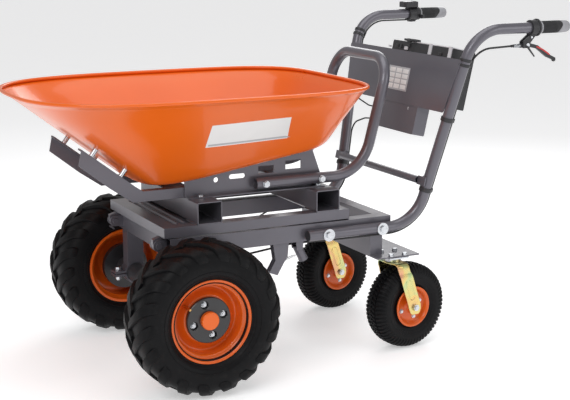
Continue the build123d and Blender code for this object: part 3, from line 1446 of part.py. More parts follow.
# ---------------------------------------------------------------- tip hoop
hoop_route = [
    (HOOP_X, HOOP_FRONT, HOOP_Z),
    (HOOP_X, HOOP_BEND_Y, HOOP_Z),
    (HOOP_X, HOOP_TOP_Y, HOOP_TOP),
    (-HOOP_X, HOOP_TOP_Y, HOOP_TOP),
    (-HOOP_X, HOOP_BEND_Y, HOOP_Z),
    (-HOOP_X, HOOP_FRONT, HOOP_Z),
]
HOOP_LOW_BEND = 125.0
HOOP_HIGH_BEND = 78.0
hoop_radii = [HOOP_LOW_BEND, HOOP_HIGH_BEND, HOOP_HIGH_BEND, HOOP_LOW_BEND]
hoop_tube = tube_along(hoop_route, hoop_radii, HOOP_RADIUS, HOOP_RADIUS - TUBE_WALL)
with BuildPart() as tip_hoop:
    add(hoop_tube)
    for side in SIDES.values():
        for bolt_y in HOOP_BOLTS_Y:
            with BuildSketch(side_plane(side * PLATE_OUTER_X, bolt_y, HOOP_Z)):
                Circle(HOOP_BOLT_RADIUS + BOLT_CLEARANCE)
            extrude(amount=side * 3 * HOOP_RADIUS, mode=Mode.SUBTRACT)
save(tip_hoop.part, "tip_hoop")

# ---------------------------------------------------------------- fasteners
FLANGE_BOLTS_Y = (-308.5, 59.0)
HOOP_HEAD_X = HOOP_X + HOOP_RADIUS
tipper_pieces = []
for side in SIDES.values():
    for bolt_y in HOOP_BOLTS_Y:
        seat = Plane(origin=(side * HOOP_HEAD_X, bolt_y, HOOP_Z), z_dir=(side, 0, 0))
        tipper_pieces.append(bolt(seat, HOOP_BOLT_RADIUS, 2 * HOOP_RADIUS + 5, 16, 6, 10))
    for bolt_y in FLANGE_BOLTS_Y:
        flange_middle = side * (PLATE_OUTER_X + PLATE_FLANGE / 2 + 2)
        seat = Plane(
            origin=(flange_middle, bolt_y, POCKET_TOP + PLATE_FLANGE_SHEET), z_dir=(0, 0, 1)
        )
        tipper_pieces.append(bolt(seat, 0, 0, 14, 3, 9))
arm_run = Vector(0, ARM_KNEE[0] - ARM_TIP[0], ARM_KNEE[1] - ARM_TIP[1]).normalized()
arm_normal = Vector(0, -arm_run.Z, arm_run.Y)
SPACERS_AT = (38.0, 140.0)
spacer_pieces = []
for side in SIDES.values():
    for reach in SPACERS_AT:
        foot = Vector(side * (ARM_FACE_X - 14), *ARM_TIP) + arm_run * reach
        with BuildPart() as spacer:
            with BuildSketch(Plane(origin=foot, z_dir=arm_normal)):
                Circle(7)
            extrude(amount=60)
            add(tub_outside, mode=Mode.SUBTRACT)
        spacer_pieces.append(spacer.part)
with BuildPart() as tipper_bolts:
    add(tipper_pieces)
    add(spacer_pieces)
save(tipper_bolts.part, "tipper_bolts")

chassis_pieces = []
HANDLE_HEAD_X = TUBE_X + TUBE_RADIUS + SEAT_GAP
HANDLE_SHANK = 2 * TUBE_RADIUS + RAIL_WALL + 4
for side in SIDES.values():
    for bolt_y in HANDLE_BOLTS_Y:
        seat = Plane(origin=(side * HANDLE_HEAD_X, bolt_y, HANDLE_LOW_Z), z_dir=(side, 0, 0))
        chassis_pieces.append(bolt(seat, HANDLE_BOLT_RADIUS, HANDLE_SHANK, 18, 6, 18))
    for bolt_y in (WHEEL_Y - CLAMP_BOLT_Y, WHEEL_Y + CLAMP_BOLT_Y):
        clamp_top = TYRE_RADIUS + CLAMP_GAP / 2 + EAR_THICKNESS
        seat = Plane(origin=(side * LEG_X, bolt_y, clamp_top), z_dir=(0, 0, 1))
        clamp_bolt = bolt(seat, 5, 2 * EAR_THICKNESS + CLAMP_GAP + 14, 16, 7, 10)
        nut_seat = Plane(
            origin=(side * LEG_X, bolt_y, TYRE_RADIUS - CLAMP_GAP / 2 - EAR_THICKNESS),
            z_dir=(0, 0, -1),
        )
        chassis_pieces.append(clamp_bolt)
        chassis_pieces.append(bolt(nut_seat, 5, 2, 16, 8, 10))
    for dx in (-28, 28):
        for dy in (-23, 23):
            seat = Plane(
                origin=(side * CASTER_X + dx, SWIVEL_Y + dy, SHELF_TOP), z_dir=(0, 0, 1)
            )
            shank = SHELF_SHEET + CASTER_PLATE_SHEET
            chassis_pieces.append(bolt(seat, 4, shank, 13, 5, 8))
with BuildPart() as chassis_bolts:
    add(chassis_pieces)
save(chassis_bolts.part, "chassis_bolts")
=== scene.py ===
"""Looks of the battery power wheelbarrow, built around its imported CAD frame, in metres."""

import math

import bmesh
import bpy
import numpy as np
from mathutils import Matrix, Vector


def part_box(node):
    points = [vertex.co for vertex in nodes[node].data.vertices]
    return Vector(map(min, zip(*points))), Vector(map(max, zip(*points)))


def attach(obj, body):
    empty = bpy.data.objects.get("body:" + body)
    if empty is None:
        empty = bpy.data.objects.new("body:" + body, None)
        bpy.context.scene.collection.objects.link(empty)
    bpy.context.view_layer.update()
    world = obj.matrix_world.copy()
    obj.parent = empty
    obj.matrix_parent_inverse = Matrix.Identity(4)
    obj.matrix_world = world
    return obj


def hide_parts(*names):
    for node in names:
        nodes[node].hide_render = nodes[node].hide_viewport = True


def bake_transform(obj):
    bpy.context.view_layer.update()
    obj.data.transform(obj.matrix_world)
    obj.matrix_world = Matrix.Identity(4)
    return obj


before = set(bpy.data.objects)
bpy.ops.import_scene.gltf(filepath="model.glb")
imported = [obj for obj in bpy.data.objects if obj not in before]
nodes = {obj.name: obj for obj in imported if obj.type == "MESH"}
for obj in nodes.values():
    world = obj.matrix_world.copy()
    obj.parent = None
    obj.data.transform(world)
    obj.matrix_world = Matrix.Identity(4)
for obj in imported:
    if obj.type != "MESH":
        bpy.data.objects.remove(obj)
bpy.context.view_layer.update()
SIDES = {"left": 1, "right": -1}

# ---------------------------------------------------------------- sizes shared with the frame
WHEEL_X, WHEEL_Y, WHEEL_R = 0.332, -0.3815, 0.2125
CASTER_STEER = math.radians(7.4)
CASTER_X, SWIVEL_Y, CASTER_R = 0.228, 0.2714, 0.128
CASTER_TRAIL = 0.0485
TUBE_X, TUBE_R = 0.2341, 0.016
TUBE_FOOT_Y, TUBE_FOOT_Z = 0.341, 0.373
GRIP_X, GRIP_Z = 0.330, 0.945
BEND_Y, BEND_R = 0.470, 0.110
LEAN = (BEND_Y - TUBE_FOOT_Y) / (GRIP_Z - TUBE_FOOT_Z)
LEAN_ANGLE = math.atan(LEAN)
SPLAY = (GRIP_X - TUBE_X) / (GRIP_Z - TUBE_FOOT_Z)


# ---------------------------------------------------------------- materials
def material(
    name,
    colour,
    rough=0.45,
    metallic=0.0,
    coat=0.0,
    coat_rough=0.1,
    mottle=0.12,
    mottle_scale=9.0,
    grain=0.15,
    grain_scale=900.0,
    grain_size=0.0002,
    rough_spread=0.1,
    bevel=0.0,
    specular=0.5,
    stretch=(1.0, 1.0, 1.0),
    dust=0.0,
):
    """A node material: mottled colour, uneven roughness and a fine bump, in object coordinates."""
    made = bpy.data.materials.new(name)
    made.use_nodes = True
    tree = made.node_tree
    shader = tree.nodes["Principled BSDF"]
    place = tree.nodes.new("ShaderNodeTexCoord")
    warp = tree.nodes.new("ShaderNodeMapping")
    warp.inputs["Scale"].default_value = stretch
    tree.links.new(place.outputs["Object"], warp.inputs["Vector"])

    def noise(scale, detail=4.0):
        node = tree.nodes.new("ShaderNodeTexNoise")
        node.inputs["Scale"].default_value = scale
        node.inputs["Detail"].default_value = detail
        tree.links.new(warp.outputs["Vector"], node.inputs["Vector"])
        return node

    patches = noise(mottle_scale)
    ramp = tree.nodes.new("ShaderNodeValToRGB")
    ramp.color_ramp.elements[0].position = 0.3
    ramp.color_ramp.elements[1].position = 0.72
    ramp.color_ramp.elements[0].color = [c * (1 - mottle) for c in colour] + [1]
    ramp.color_ramp.elements[1].color = [min(1, c * (1 + mottle)) for c in colour] + [1]
    tree.links.new(patches.outputs["Fac"], ramp.inputs["Fac"])
    colour_out = ramp.outputs["Color"]
    if dust:
        specks = noise(mottle_scale * 6, 8.0)
        veil = tree.nodes.new("ShaderNodeMapRange")
        veil.inputs["From Min"].default_value = 0.55
        veil.inputs["From Max"].default_value = 0.8
        veil.inputs["To Max"].default_value = dust
        tree.links.new(specks.outputs["Fac"], veil.inputs["Value"])
        mix = tree.nodes.new("ShaderNodeMixRGB")
        mix.inputs["Color2"].default_value = (0.19, 0.175, 0.16, 1)
        tree.links.new(veil.outputs["Result"], mix.inputs["Fac"])
        tree.links.new(colour_out, mix.inputs["Color1"])
        colour_out = mix.outputs["Color"]
    tree.links.new(colour_out, shader.inputs["Base Color"])

    smear = noise(mottle_scale * 2.3)
    spread = tree.nodes.new("ShaderNodeMapRange")
    spread.inputs["To Min"].default_value = max(0.02, rough - rough_spread)
    spread.inputs["To Max"].default_value = min(1.0, rough + rough_spread)
    tree.links.new(smear.outputs["Fac"], spread.inputs["Value"])
    tree.links.new(spread.outputs["Result"], shader.inputs["Roughness"])

    bump = tree.nodes.new("ShaderNodeBump")
    bump.inputs["Strength"].default_value = grain
    bump.inputs["Distance"].default_value = grain_size
    tree.links.new(noise(grain_scale, 2.0).outputs["Fac"], bump.inputs["Height"])
    if bevel:
        soft_edge = tree.nodes.new("ShaderNodeBevel")
        soft_edge.inputs["Radius"].default_value = bevel
        soft_edge.samples = 4
        tree.links.new(soft_edge.outputs["Normal"], bump.inputs["Normal"])
    tree.links.new(bump.outputs["Normal"], shader.inputs["Normal"])
    shader.inputs["Metallic"].default_value = metallic
    shader.inputs["Coat Weight"].default_value = coat
    shader.inputs["Coat Roughness"].default_value = coat_rough
    shader.inputs["Specular IOR Level"].default_value = specular
    return made


ORANGE = (0.78, 0.128, 0.006)
M = {
    "frame": material(
        "frame_paint", (0.125, 0.12, 0.142), 0.34, 0.35, 0.35, 0.22, 0.06, 6, 0.2, 700, 0.00012,
        0.06, 0.0012,
    ),
    "orange": material(
        "orange_gloss", ORANGE, 0.3, 0.0, 0.3, 0.08, 0.035, 4, 0.08, 420, 0.00012, 0.05, 0.0, 0.35
    ),
    "rim": material(
        "orange_rim", (0.68, 0.105, 0.006), 0.3, 0.0, 0.35, 0.1, 0.05, 8, 0.12, 500, 0.00012, 0.06,
        0.001, 0.35,
    ),
    "tyre": material(
        "tyre_rubber", (0.0045, 0.0045, 0.0052), 0.47, 0.0, 0.0, 0.3, 0.25, 14, 0.5, 650, 0.0003,
        0.1, 0.0, 0.14, (1, 1, 1), 0.035,
    ),
    "zinc": material(
        "bright_zinc", (0.62, 0.64, 0.67), 0.27, 1.0, 0, 0.1, 0.1, 60, 0.2, 1400, 0.0001, 0.1,
        0.0006,
    ),
    "black_metal": material(
        "black_enamel", (0.016, 0.016, 0.018), 0.33, 0.0, 0.3, 0.15, 0.2, 20, 0.2, 800, 0.0001,
        0.08, 0.0008,
    ),
    "casting": material(
        "cast_housing", (0.05, 0.05, 0.056), 0.5, 0.5, 0, 0.2, 0.2, 22, 0.6, 500, 0.0004, 0.1,
        0.0015,
    ),
    "plastic": material(
        "black_plastic", (0.024, 0.024, 0.027), 0.47, 0, 0, 0.2, 0.15, 30, 0.4, 1500, 0.00015,
        0.08, 0.001,
    ),
    "grip": material(
        "grip_rubber", (0.02, 0.02, 0.022), 0.7, 0, 0, 0.2, 0.2, 40, 0.7, 1300, 0.0003, 0.08
    ),
    "grey": material(
        "grey_plastic", (0.3, 0.3, 0.32), 0.4, 0, 0, 0.2, 0.08, 30, 0.25, 1200, 0.0001, 0.08,
        0.0008,
    ),
    "silver": material(
        "silver_sheet", (0.72, 0.71, 0.74), 0.34, 0.45, 0, 0.1, 0.06, 14, 0.25, 600, 0.0001, 0.08,
        0.0006, 0.5, (1, 14, 1),
    ),
    "sheath": material(
        "cable_sheath", (0.014, 0.014, 0.015), 0.4, 0, 0, 0.2, 0.2, 60, 0.3, 1500, 0.0001, 0.08
    ),
    "glass": material(
        "screen_glass", (0.006, 0.008, 0.011), 0.08, 0, 1.0, 0.03, 0.1, 30, 0.02, 400, 0.00005,
        0.03,
    ),
    "red": material(
        "red_insert", (0.55, 0.02, 0.02), 0.35, 0, 0.4, 0.1, 0.08, 60, 0.2, 1200, 0.0001, 0.06
    ),
    "white": material(
        "white_label", (0.78, 0.77, 0.76), 0.3, 0, 0.5, 0.1, 0.02, 12, 0.06, 900, 0.00004, 0.05
    ),
    "label_grey": material(
        "label_grey", (0.42, 0.42, 0.44), 0.35, 0, 0.4, 0.1, 0.04, 20, 0.06, 900, 0.00004, 0.05
    ),
    "brass": material(
        "brass_valve", (0.62, 0.42, 0.16), 0.3, 1.0, 0, 0.1, 0.1, 80, 0.2, 1500, 0.0001, 0.1
    ),
    "weld": material(
        "weld_bead", (0.115, 0.11, 0.13), 0.38, 0.4, 0.3, 0.2, 0.15, 120, 0.6, 260, 0.0006, 0.08
    ),
}


def yellow_zinc():
    """Yellow passivated zinc, whose film drifts between gold, green and pink."""
    made = material(
        "yellow_zinc", (0.62, 0.5, 0.2), 0.25, 1.0, 0, 0.1, 0.1, 30, 0.15, 1400, 0.0001, 0.08,
        0.0008,
    )
    tree = made.node_tree
    shader = tree.nodes["Principled BSDF"]
    place = tree.nodes.new("ShaderNodeTexCoord")
    film = tree.nodes.new("ShaderNodeTexNoise")
    film.inputs["Scale"].default_value = 15
    film.inputs["Detail"].default_value = 2
    film.inputs["Distortion"].default_value = 0.8
    ramp = tree.nodes.new("ShaderNodeValToRGB")
    ramp.color_ramp.elements[0].position = 0.3
    ramp.color_ramp.elements[0].color = (0.70, 0.36, 0.22, 1)
    ramp.color_ramp.elements[1].position = 0.7
    ramp.color_ramp.elements[1].color = (0.36, 0.56, 0.30, 1)
    gold = ramp.color_ramp.elements.new(0.47)
    gold.color = (0.74, 0.55, 0.20, 1)
    pale = ramp.color_ramp.elements.new(0.58)
    pale.color = (0.62, 0.60, 0.26, 1)
    tree.links.new(place.outputs["Object"], film.inputs["Vector"])
    tree.links.new(film.outputs["Fac"], ramp.inputs["Fac"])
    tree.links.new(ramp.outputs["Color"], shader.inputs["Base Color"])
    return made


M["yellow"] = yellow_zinc()

PAINTED = {
    "orange": "tub hub_cap_left hub_cap_right",
    "rim": "rim_left rim_right caster_rim_left caster_rim_right",
    "tyre": "tyre_left tyre_right caster_tyre_left caster_tyre_right",
    "zinc": "chassis_bolts tipper_bolts caster_axle_left caster_axle_right latch_spring caster_plates",
    "yellow": "caster_fork_left caster_fork_right",
    "black_metal": "hub_left hub_right brake_drums",
    "casting": "axle_housing drive_motor",
    "plastic": "battery_case battery_pack display throttle_body throttle_lever cable_clips"
    " brake_perch brake_lever",
    "grip": "grips",
    "grey": "grip_caps",
    "silver": "battery_straps",
    "sheath": "brake_cable wiring_loom",
}
named = {n: key for key, names in PAINTED.items() for n in names.split()}
for name, piece in nodes.items():
    piece.data.materials.clear()
    piece.data.materials.append(M[named.get(name, "frame")])


# ---------------------------------------------------------------- mesh helpers
def put(name, mesh, key, body, sharp=38.0):
    """Links a bmesh as a smooth piece with sharp edges kept, and rides it on a body."""
    for face in mesh.faces:
        face.smooth = True
    bmesh.ops.remove_doubles(mesh, verts=mesh.verts, dist=1e-6)
    bmesh.ops.recalc_face_normals(mesh, faces=mesh.faces)
    limit = math.radians(sharp)
    for edge in mesh.edges:
        if len(edge.link_faces) != 2 or edge.calc_face_angle(0) > limit:
            edge.smooth = False
    data = bpy.data.meshes.new(name)
    mesh.to_mesh(data)
    mesh.free()
    piece = bpy.data.objects.new(name, data)
    bpy.context.scene.collection.objects.link(piece)
    data.materials.append(M[key])
    if body:
        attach(piece, body)
    return piece


def rings(mesh, loops, close_across=False, cap=False):
    """Joins closed loops of points with quads, in order."""
    made = [[mesh.verts.new(p) for p in loop] for loop in loops]
    pairs = list(zip(made, made[1:]))
    if close_across:
        pairs.append((made[-1], made[0]))
    for a, b in pairs:
        count = len(a)
        for i in range(count):
            mesh.faces.new((a[i], a[(i + 1) % count], b[(i + 1) % count], b[i]))
    if cap:
        mesh.faces.new(made[0])
        mesh.faces.new(list(reversed(made[-1])))
    return made


def smooth_line(points, per=6):
    """Points along a Catmull-Rom curve through the given ones."""
    pts = [np.array(p, float) for p in points]
    pts = [2 * pts[0] - pts[1], *pts, 2 * pts[-1] - pts[-2]]
    out = []
    for a, b, c, d in zip(pts, pts[1:], pts[2:], pts[3:]):
        for i in range(per):
            t = i / per
            out.append(
                0.5
                * (
                    2 * b
                    + (c - a) * t
                    + (2 * a - 5 * b + 4 * c - d) * t * t
                    + (3 * b - a - 3 * c + d) * t**3
                )
            )
    out.append(pts[-2])
    return out


def lathe(profile, centre, axle=Vector((1, 0, 0)), count=128, closed=True, mesh=None):
    """A surface of revolution: profile points are (along the axle, radius)."""
    mesh = mesh or bmesh.new()
    axle = Vector(axle).normalized()
    side = axle.cross(Vector((0, 0, 1)))
    side = side.normalized() if side.length > 0.01 else Vector((1, 0, 0))
    up = side.cross(axle)
    centre = Vector(centre)
    loops = []
    for along, radius in profile:
        loop = []
        for i in range(count):
            angle = 2 * math.pi * i / count
            spoke = side * math.cos(angle) + up * math.sin(angle)
            loop.append(centre + axle * along + spoke * radius)
        loops.append(loop)
    rings(mesh, loops, close_across=closed, cap=not closed)
    return mesh


def sweep_tube(points, radius, count=16, mesh=None):
    """A round tube along points, with closed ends."""
    mesh = mesh or bmesh.new()
    pts = [Vector(p) for p in points]
    loops = []
    normal = None
    for i, p in enumerate(pts):
        ahead = pts[min(i + 1, len(pts) - 1)] - pts[max(i - 1, 0)]
        ahead.normalize()
        if normal is None:
            normal = ahead.orthogonal().normalized()
        normal = (normal - ahead * normal.dot(ahead)).normalized()
        other = ahead.cross(normal)
        r = radius(i / (len(pts) - 1)) if callable(radius) else radius
        loops.append(
            [
                p + normal * r * math.cos(2 * math.pi * k / count)
                + other * r * math.sin(2 * math.pi * k / count)
                for k in range(count)
            ]
        )
    rings(mesh, loops, cap=True)
    return mesh


def block(mesh, place, size, chamfer=0.0008):
    """A box with chamfered edges, size along the axes of a 4x4 place."""
    made = bmesh.ops.create_cube(mesh, size=1.0)["verts"]
    bmesh.ops.scale(mesh, vec=Vector(size), verts=made)
    bmesh.ops.transform(mesh, matrix=place, verts=made)
    if chamfer:
        edges = list({e for v in made for e in v.link_edges})
        bmesh.ops.bevel(
            mesh, geom=edges, offset=chamfer, segments=2, affect="EDGES", profile=0.5
        )
    return mesh


def disc(mesh, place, radius, height, count=24, chamfer=0.0006, sides=None):
    """A short cylinder, or a prism with a number of sides, standing on a place's XY plane."""
    count = sides or count
    rounds = [(radius, 0.0), (radius, height - chamfer), (radius - chamfer, height)]
    loops = [
        [
            place @ Vector((r * math.cos(turn), r * math.sin(turn), z))
            for turn in (2 * math.pi * k / count for k in range(count))
        ]
        for r, z in rounds
    ]
    rings(mesh, loops, cap=True)
    return mesh


def placed(origin, z_dir, x_hint=(0, 0, 1)):
    """A 4x4 whose Z is z_dir and whose X is near x_hint."""
    z = Vector(z_dir).normalized()
    x = Vector(x_hint)
    x = (x - z * x.dot(z)).normalized()
    y = z.cross(x)
    made = Matrix((x, y, z)).transposed().to_4x4()
    made.translation = Vector(origin)
    return made


# ---------------------------------------------------------------- treaded tyres
def arc_profile(points, per=8):
    """A smooth profile with its running length and outward normals."""
    line = np.array(smooth_line(points, per))
    step = np.linalg.norm(np.diff(line, axis=0), axis=1)
    run = np.concatenate([[0], np.cumsum(step)])
    ahead = np.gradient(line, axis=0)
    ahead /= np.linalg.norm(ahead, axis=1)[:, None]
    out = np.stack([-ahead[:, 1], ahead[:, 0]], axis=1)
    if out[0, 1] < 0:
        out = -out
    return line, run, out


def tread_lug(mesh, frame_of, stations, mirror):
    """One lug over the carcass: stations are (run, angle, half width, height)."""
    loops = []
    for run, angle, half, height in stations:
        spot, normal, round_dir = frame_of(run * mirror, angle)
        foot = spot - normal * 0.004
        top = spot + normal * height
        loops.append(
            [
                foot - round_dir * (half + 0.0022),
                top - round_dir * half - normal * 0.0012,
                top - round_dir * (half - 0.0014),
                top + round_dir * (half - 0.0014),
                top + round_dir * half - normal * 0.0012,
                foot + round_dir * (half + 0.0022),
            ]
        )
    rings(mesh, loops, cap=True)


def tyre_frame(half_points, centre, axle):
    """Gives the place, normal and circling direction on a tyre from run (across) and angle."""
    line, run, out = arc_profile(half_points)
    axle = Vector(axle).normalized()
    up = Vector((0, 0, 1))
    side = axle.cross(up).normalized()
    centre = Vector(centre)

    def frame_of(across, angle):
        sign = 1 if across >= 0 else -1
        s = min(abs(across), run[-1])
        x = np.interp(s, run, line[:, 0]) * sign
        r = np.interp(s, run, line[:, 1])
        nx = np.interp(s, run, out[:, 0]) * sign
        nr = np.interp(s, run, out[:, 1])
        spoke = side * math.cos(angle) + up * math.sin(angle)
        circling = -side * math.sin(angle) + up * math.cos(angle)
        return centre + axle * x + spoke * r, (axle * nx + spoke * nr).normalized(), circling

    return frame_of, line


def carcass(half, inner):
    """A tyre's closed section, from half of its outside and half of its inside."""
    right = [tuple(p) for p in half]
    left = [(-x, r) for x, r in reversed(right[1:])]
    return left + right + inner + [(-x, r) for x, r in reversed(inner[:-1])]


def sidewall_rings(mesh, places, centre, axle, count, foot_half, top_half, proud):
    """Low raised rings on both sidewalls; a place is a ring's radius and its distance along the axle."""
    for ring_r, ring_x in places:
        for hand in (1, -1):
            lip = [
                (hand * (ring_x - 0.001), ring_r - foot_half),
                (hand * (ring_x + proud), ring_r - top_half),
                (hand * (ring_x + proud), ring_r + top_half),
                (hand * (ring_x - 0.001), ring_r + foot_half),
            ]
            lathe(lip, centre, axle, count, True, mesh)


DRIVE_LUGS = 18
DRIVE_HALF = [
    (0.0, 0.2025), (0.022, 0.2022), (0.042, 0.2), (0.057, 0.1945), (0.067, 0.186),
    (0.0735, 0.174), (0.0765, 0.159), (0.0765, 0.145), (0.0735, 0.1335), (0.0675, 0.1245),
    (0.0615, 0.1195), (0.0605, 0.1165),
]
for name, side in SIDES.items():
    centre = (side * WHEEL_X, WHEEL_Y, WHEEL_R)
    frame_of, half = tyre_frame(DRIVE_HALF, centre, (1, 0, 0))
    inner = [(0.0588, 0.1155), (0.0588, 0.1045), (0.046, 0.1045), (0.046, 0.118), (0.06, 0.15),
             (0.05, 0.186), (0, 0.192)]
    mesh = lathe(carcass(half, inner), centre, (1, 0, 0), 144)
    pitch = 2 * math.pi / DRIVE_LUGS
    for i in range(DRIVE_LUGS):
        for mirror in (1, -1):
            base = pitch * (i + (0.5 if mirror < 0 else 0))
            stations = [
                (run, base + lead, half_w, height)
                for run, lead, half_w, height in (
                    (-0.006, 0.0, 0.0105, 0.0074),
                    (0.012, 0.075, 0.0120, 0.0080),
                    (0.030, 0.155, 0.0140, 0.0082),
                    (0.048, 0.235, 0.0156, 0.0084),
                    (0.062, 0.295, 0.0166, 0.0082),
                    (0.074, 0.335, 0.0166, 0.0068),
                    (0.084, 0.355, 0.0152, 0.0042),
                    (0.092, 0.364, 0.0120, 0.0012),
                )
            ]
            tread_lug(mesh, frame_of, stations, mirror)
    places = ((0.1395, 0.0757), (0.128, 0.0703))
    sidewall_rings(mesh, places, centre, (1, 0, 0), 144, 0.0014, 0.0006, 0.0008)
    piece = put("drive_tyre_" + name, mesh, "tyre", "wheel_" + name)
    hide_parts("tyre_" + name)

CASTER_KNOBS = 60
MOULD_HAIRS = 72
CASTER_HALF = [
    (0.0, 0.1236), (0.012, 0.1233), (0.022, 0.1218), (0.030, 0.118), (0.0362, 0.1115),
    (0.0395, 0.102), (0.0402, 0.092), (0.039, 0.082), (0.0362, 0.0725), (0.0335, 0.066),
    (0.031, 0.0625),
]
wheel_axis = Vector((math.cos(CASTER_STEER), math.sin(CASTER_STEER), 0))
caster_centres = {}
for name, side in SIDES.items():
    centre = Vector(
        (
            side * CASTER_X - CASTER_TRAIL * math.sin(CASTER_STEER),
            SWIVEL_Y + CASTER_TRAIL * math.cos(CASTER_STEER),
            CASTER_R,
        )
    )
    caster_centres[name] = centre
    frame_of, half = tyre_frame(CASTER_HALF, centre, wheel_axis)
    inner = [(0.0318, 0.0585), (0.03, 0.0545), (0.022, 0.058), (0.028, 0.09), (0.0, 0.112)]
    mesh = lathe(carcass(half, inner), centre, wheel_axis, 132)
    pitch = 2 * math.pi / CASTER_KNOBS
    for i in range(CASTER_KNOBS):
        for mirror in (1, -1):
            base = pitch * (i + (0.5 if mirror < 0 else 0))
            tread_lug(
                mesh,
                frame_of,
                [
                    (0.019, base, 0.0034, 0.0040),
                    (0.028, base, 0.0037, 0.0039),
                    (0.036, base, 0.0038, 0.0033),
                    (0.044, base, 0.0034, 0.0022),
                    (0.051, base, 0.0026, 0.0010),
                ],
                mirror,
            )
            tread_lug(
                mesh,
                frame_of,
                [
                    (0.0025, base + pitch * 0.25, 0.0032, 0.0043),
                    (0.0155, base - pitch * 0.15, 0.0032, 0.0043),
                ],
                mirror,
            )
    # moulding hairs left on the shoulders
    for i in range(MOULD_HAIRS):
        angle = 2 * math.pi * (i + 0.37 * math.sin(i * 5.1)) / MOULD_HAIRS
        across = (0.036, -0.036, 0.046, -0.030)[i % 4]
        spot, normal, circling = frame_of(across, angle)
        bend = circling * 0.0012 * math.sin(i * 2.3)
        tip = spot + normal * (0.0055 + 0.0015 * math.sin(i * 1.7)) + bend
        sweep_tube([spot, (spot + tip) / 2 + bend * 0.2, tip], 0.00035, 5, mesh)
    places = ((0.0865, 0.0396), (0.0775, 0.0377))
    sidewall_rings(mesh, places, centre, wheel_axis, 132, 0.0011, 0.0005, 0.0006)
    piece = put("caster_tread_" + name, mesh, "tyre", "caster_" + name)
    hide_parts("caster_tyre_" + name)

# ---------------------------------------------------------------- hubs
HUB_FACE, HUB_R, CAP_R = 0.042, 0.063, 0.025
WELL_CIRCLE, WELL_R, WELL_DEPTH = 0.044, 0.0118, 0.011
WELL_START = math.radians(15)


def hub_piece(name, side):
    """The black hub: a barrel and a thick face plate with four deep wells, and the nuts in them."""
    axle = Vector((side, 0, 0))
    hub_centre = Vector((side * WHEEL_X, WHEEL_Y, WHEEL_R))

    def circle(mesh, along, radius, middle=(0.0, 0.0), count=40):
        made = []
        for i in range(count):
            turn = 2 * math.pi * i / count
            spot = Vector((0, middle[0] + radius * math.cos(turn), middle[1] + radius * math.sin(turn)))
            made.append(mesh.verts.new(hub_centre + axle * along + spot))
        return made

    def join(mesh, low, high):
        for i in range(len(low)):
            k = (i + 1) % len(low)
            mesh.faces.new((low[i], low[k], high[k], high[i]))

    mesh = bmesh.new()
    barrel = [(-0.110, 0.0125), (-0.041, 0.0125), (-0.040, 0.0320), (0.0262, 0.0320)]
    plate = [(0.0297, 0.0320), (0.0297, 0.0600), (0.0315, 0.0626), (HUB_FACE - 0.002, HUB_R)]
    loops = [circle(mesh, along, r, count=96) for along, r in barrel + plate]
    loops.append(circle(mesh, HUB_FACE, HUB_R - 0.002, count=96))
    for low, high in zip(loops, loops[1:]):
        join(mesh, low, high)
    mesh.faces.new(loops[0])
    middle = circle(mesh, HUB_FACE, CAP_R - 0.002, count=48)
    mesh.faces.new(middle)
    rims = [loops[-1], middle]
    for i in range(4):
        turn = WELL_START + math.pi / 2 * i
        spot = (WELL_CIRCLE * math.cos(turn), WELL_CIRCLE * math.sin(turn))
        edge = circle(mesh, HUB_FACE, WELL_R, spot)
        lip = circle(mesh, HUB_FACE - 0.0008, WELL_R - 0.0008, spot)
        foot = circle(mesh, HUB_FACE - WELL_DEPTH, WELL_R - 0.0014, spot)
        join(mesh, edge, lip)
        join(mesh, lip, foot)
        mesh.faces.new(foot)
        rims.append(edge)
    edges = []
    for loop in rims:
        for i in range(len(loop)):
            pair = (loop[i], loop[(i + 1) % len(loop)])
            edges.append(mesh.edges.get(pair) or mesh.edges.new(pair))
    bmesh.ops.triangle_fill(mesh, use_beauty=True, edges=edges)
    piece = put("hub_face_" + name, mesh, "black_metal", "wheel_" + name, 30)
    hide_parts("hub_" + name)

    mesh = bmesh.new()
    for i in range(4):
        turn = WELL_START + math.pi / 2 * i
        spot = hub_centre + Vector((0, WELL_CIRCLE * math.cos(turn), WELL_CIRCLE * math.sin(turn)))
        disc(mesh, placed(spot + axle * (HUB_FACE - WELL_DEPTH), axle), 0.0088, 0.0016, 24)
        disc(mesh, placed(spot + axle * (HUB_FACE - WELL_DEPTH + 0.0016), axle), 0.0068, 0.0055, sides=6)
        disc(mesh, placed(spot + axle * (HUB_FACE - WELL_DEPTH + 0.0071), axle), 0.0036, 0.0022, 16)
    put("hub_nuts_" + name, mesh, "zinc", "wheel_" + name)


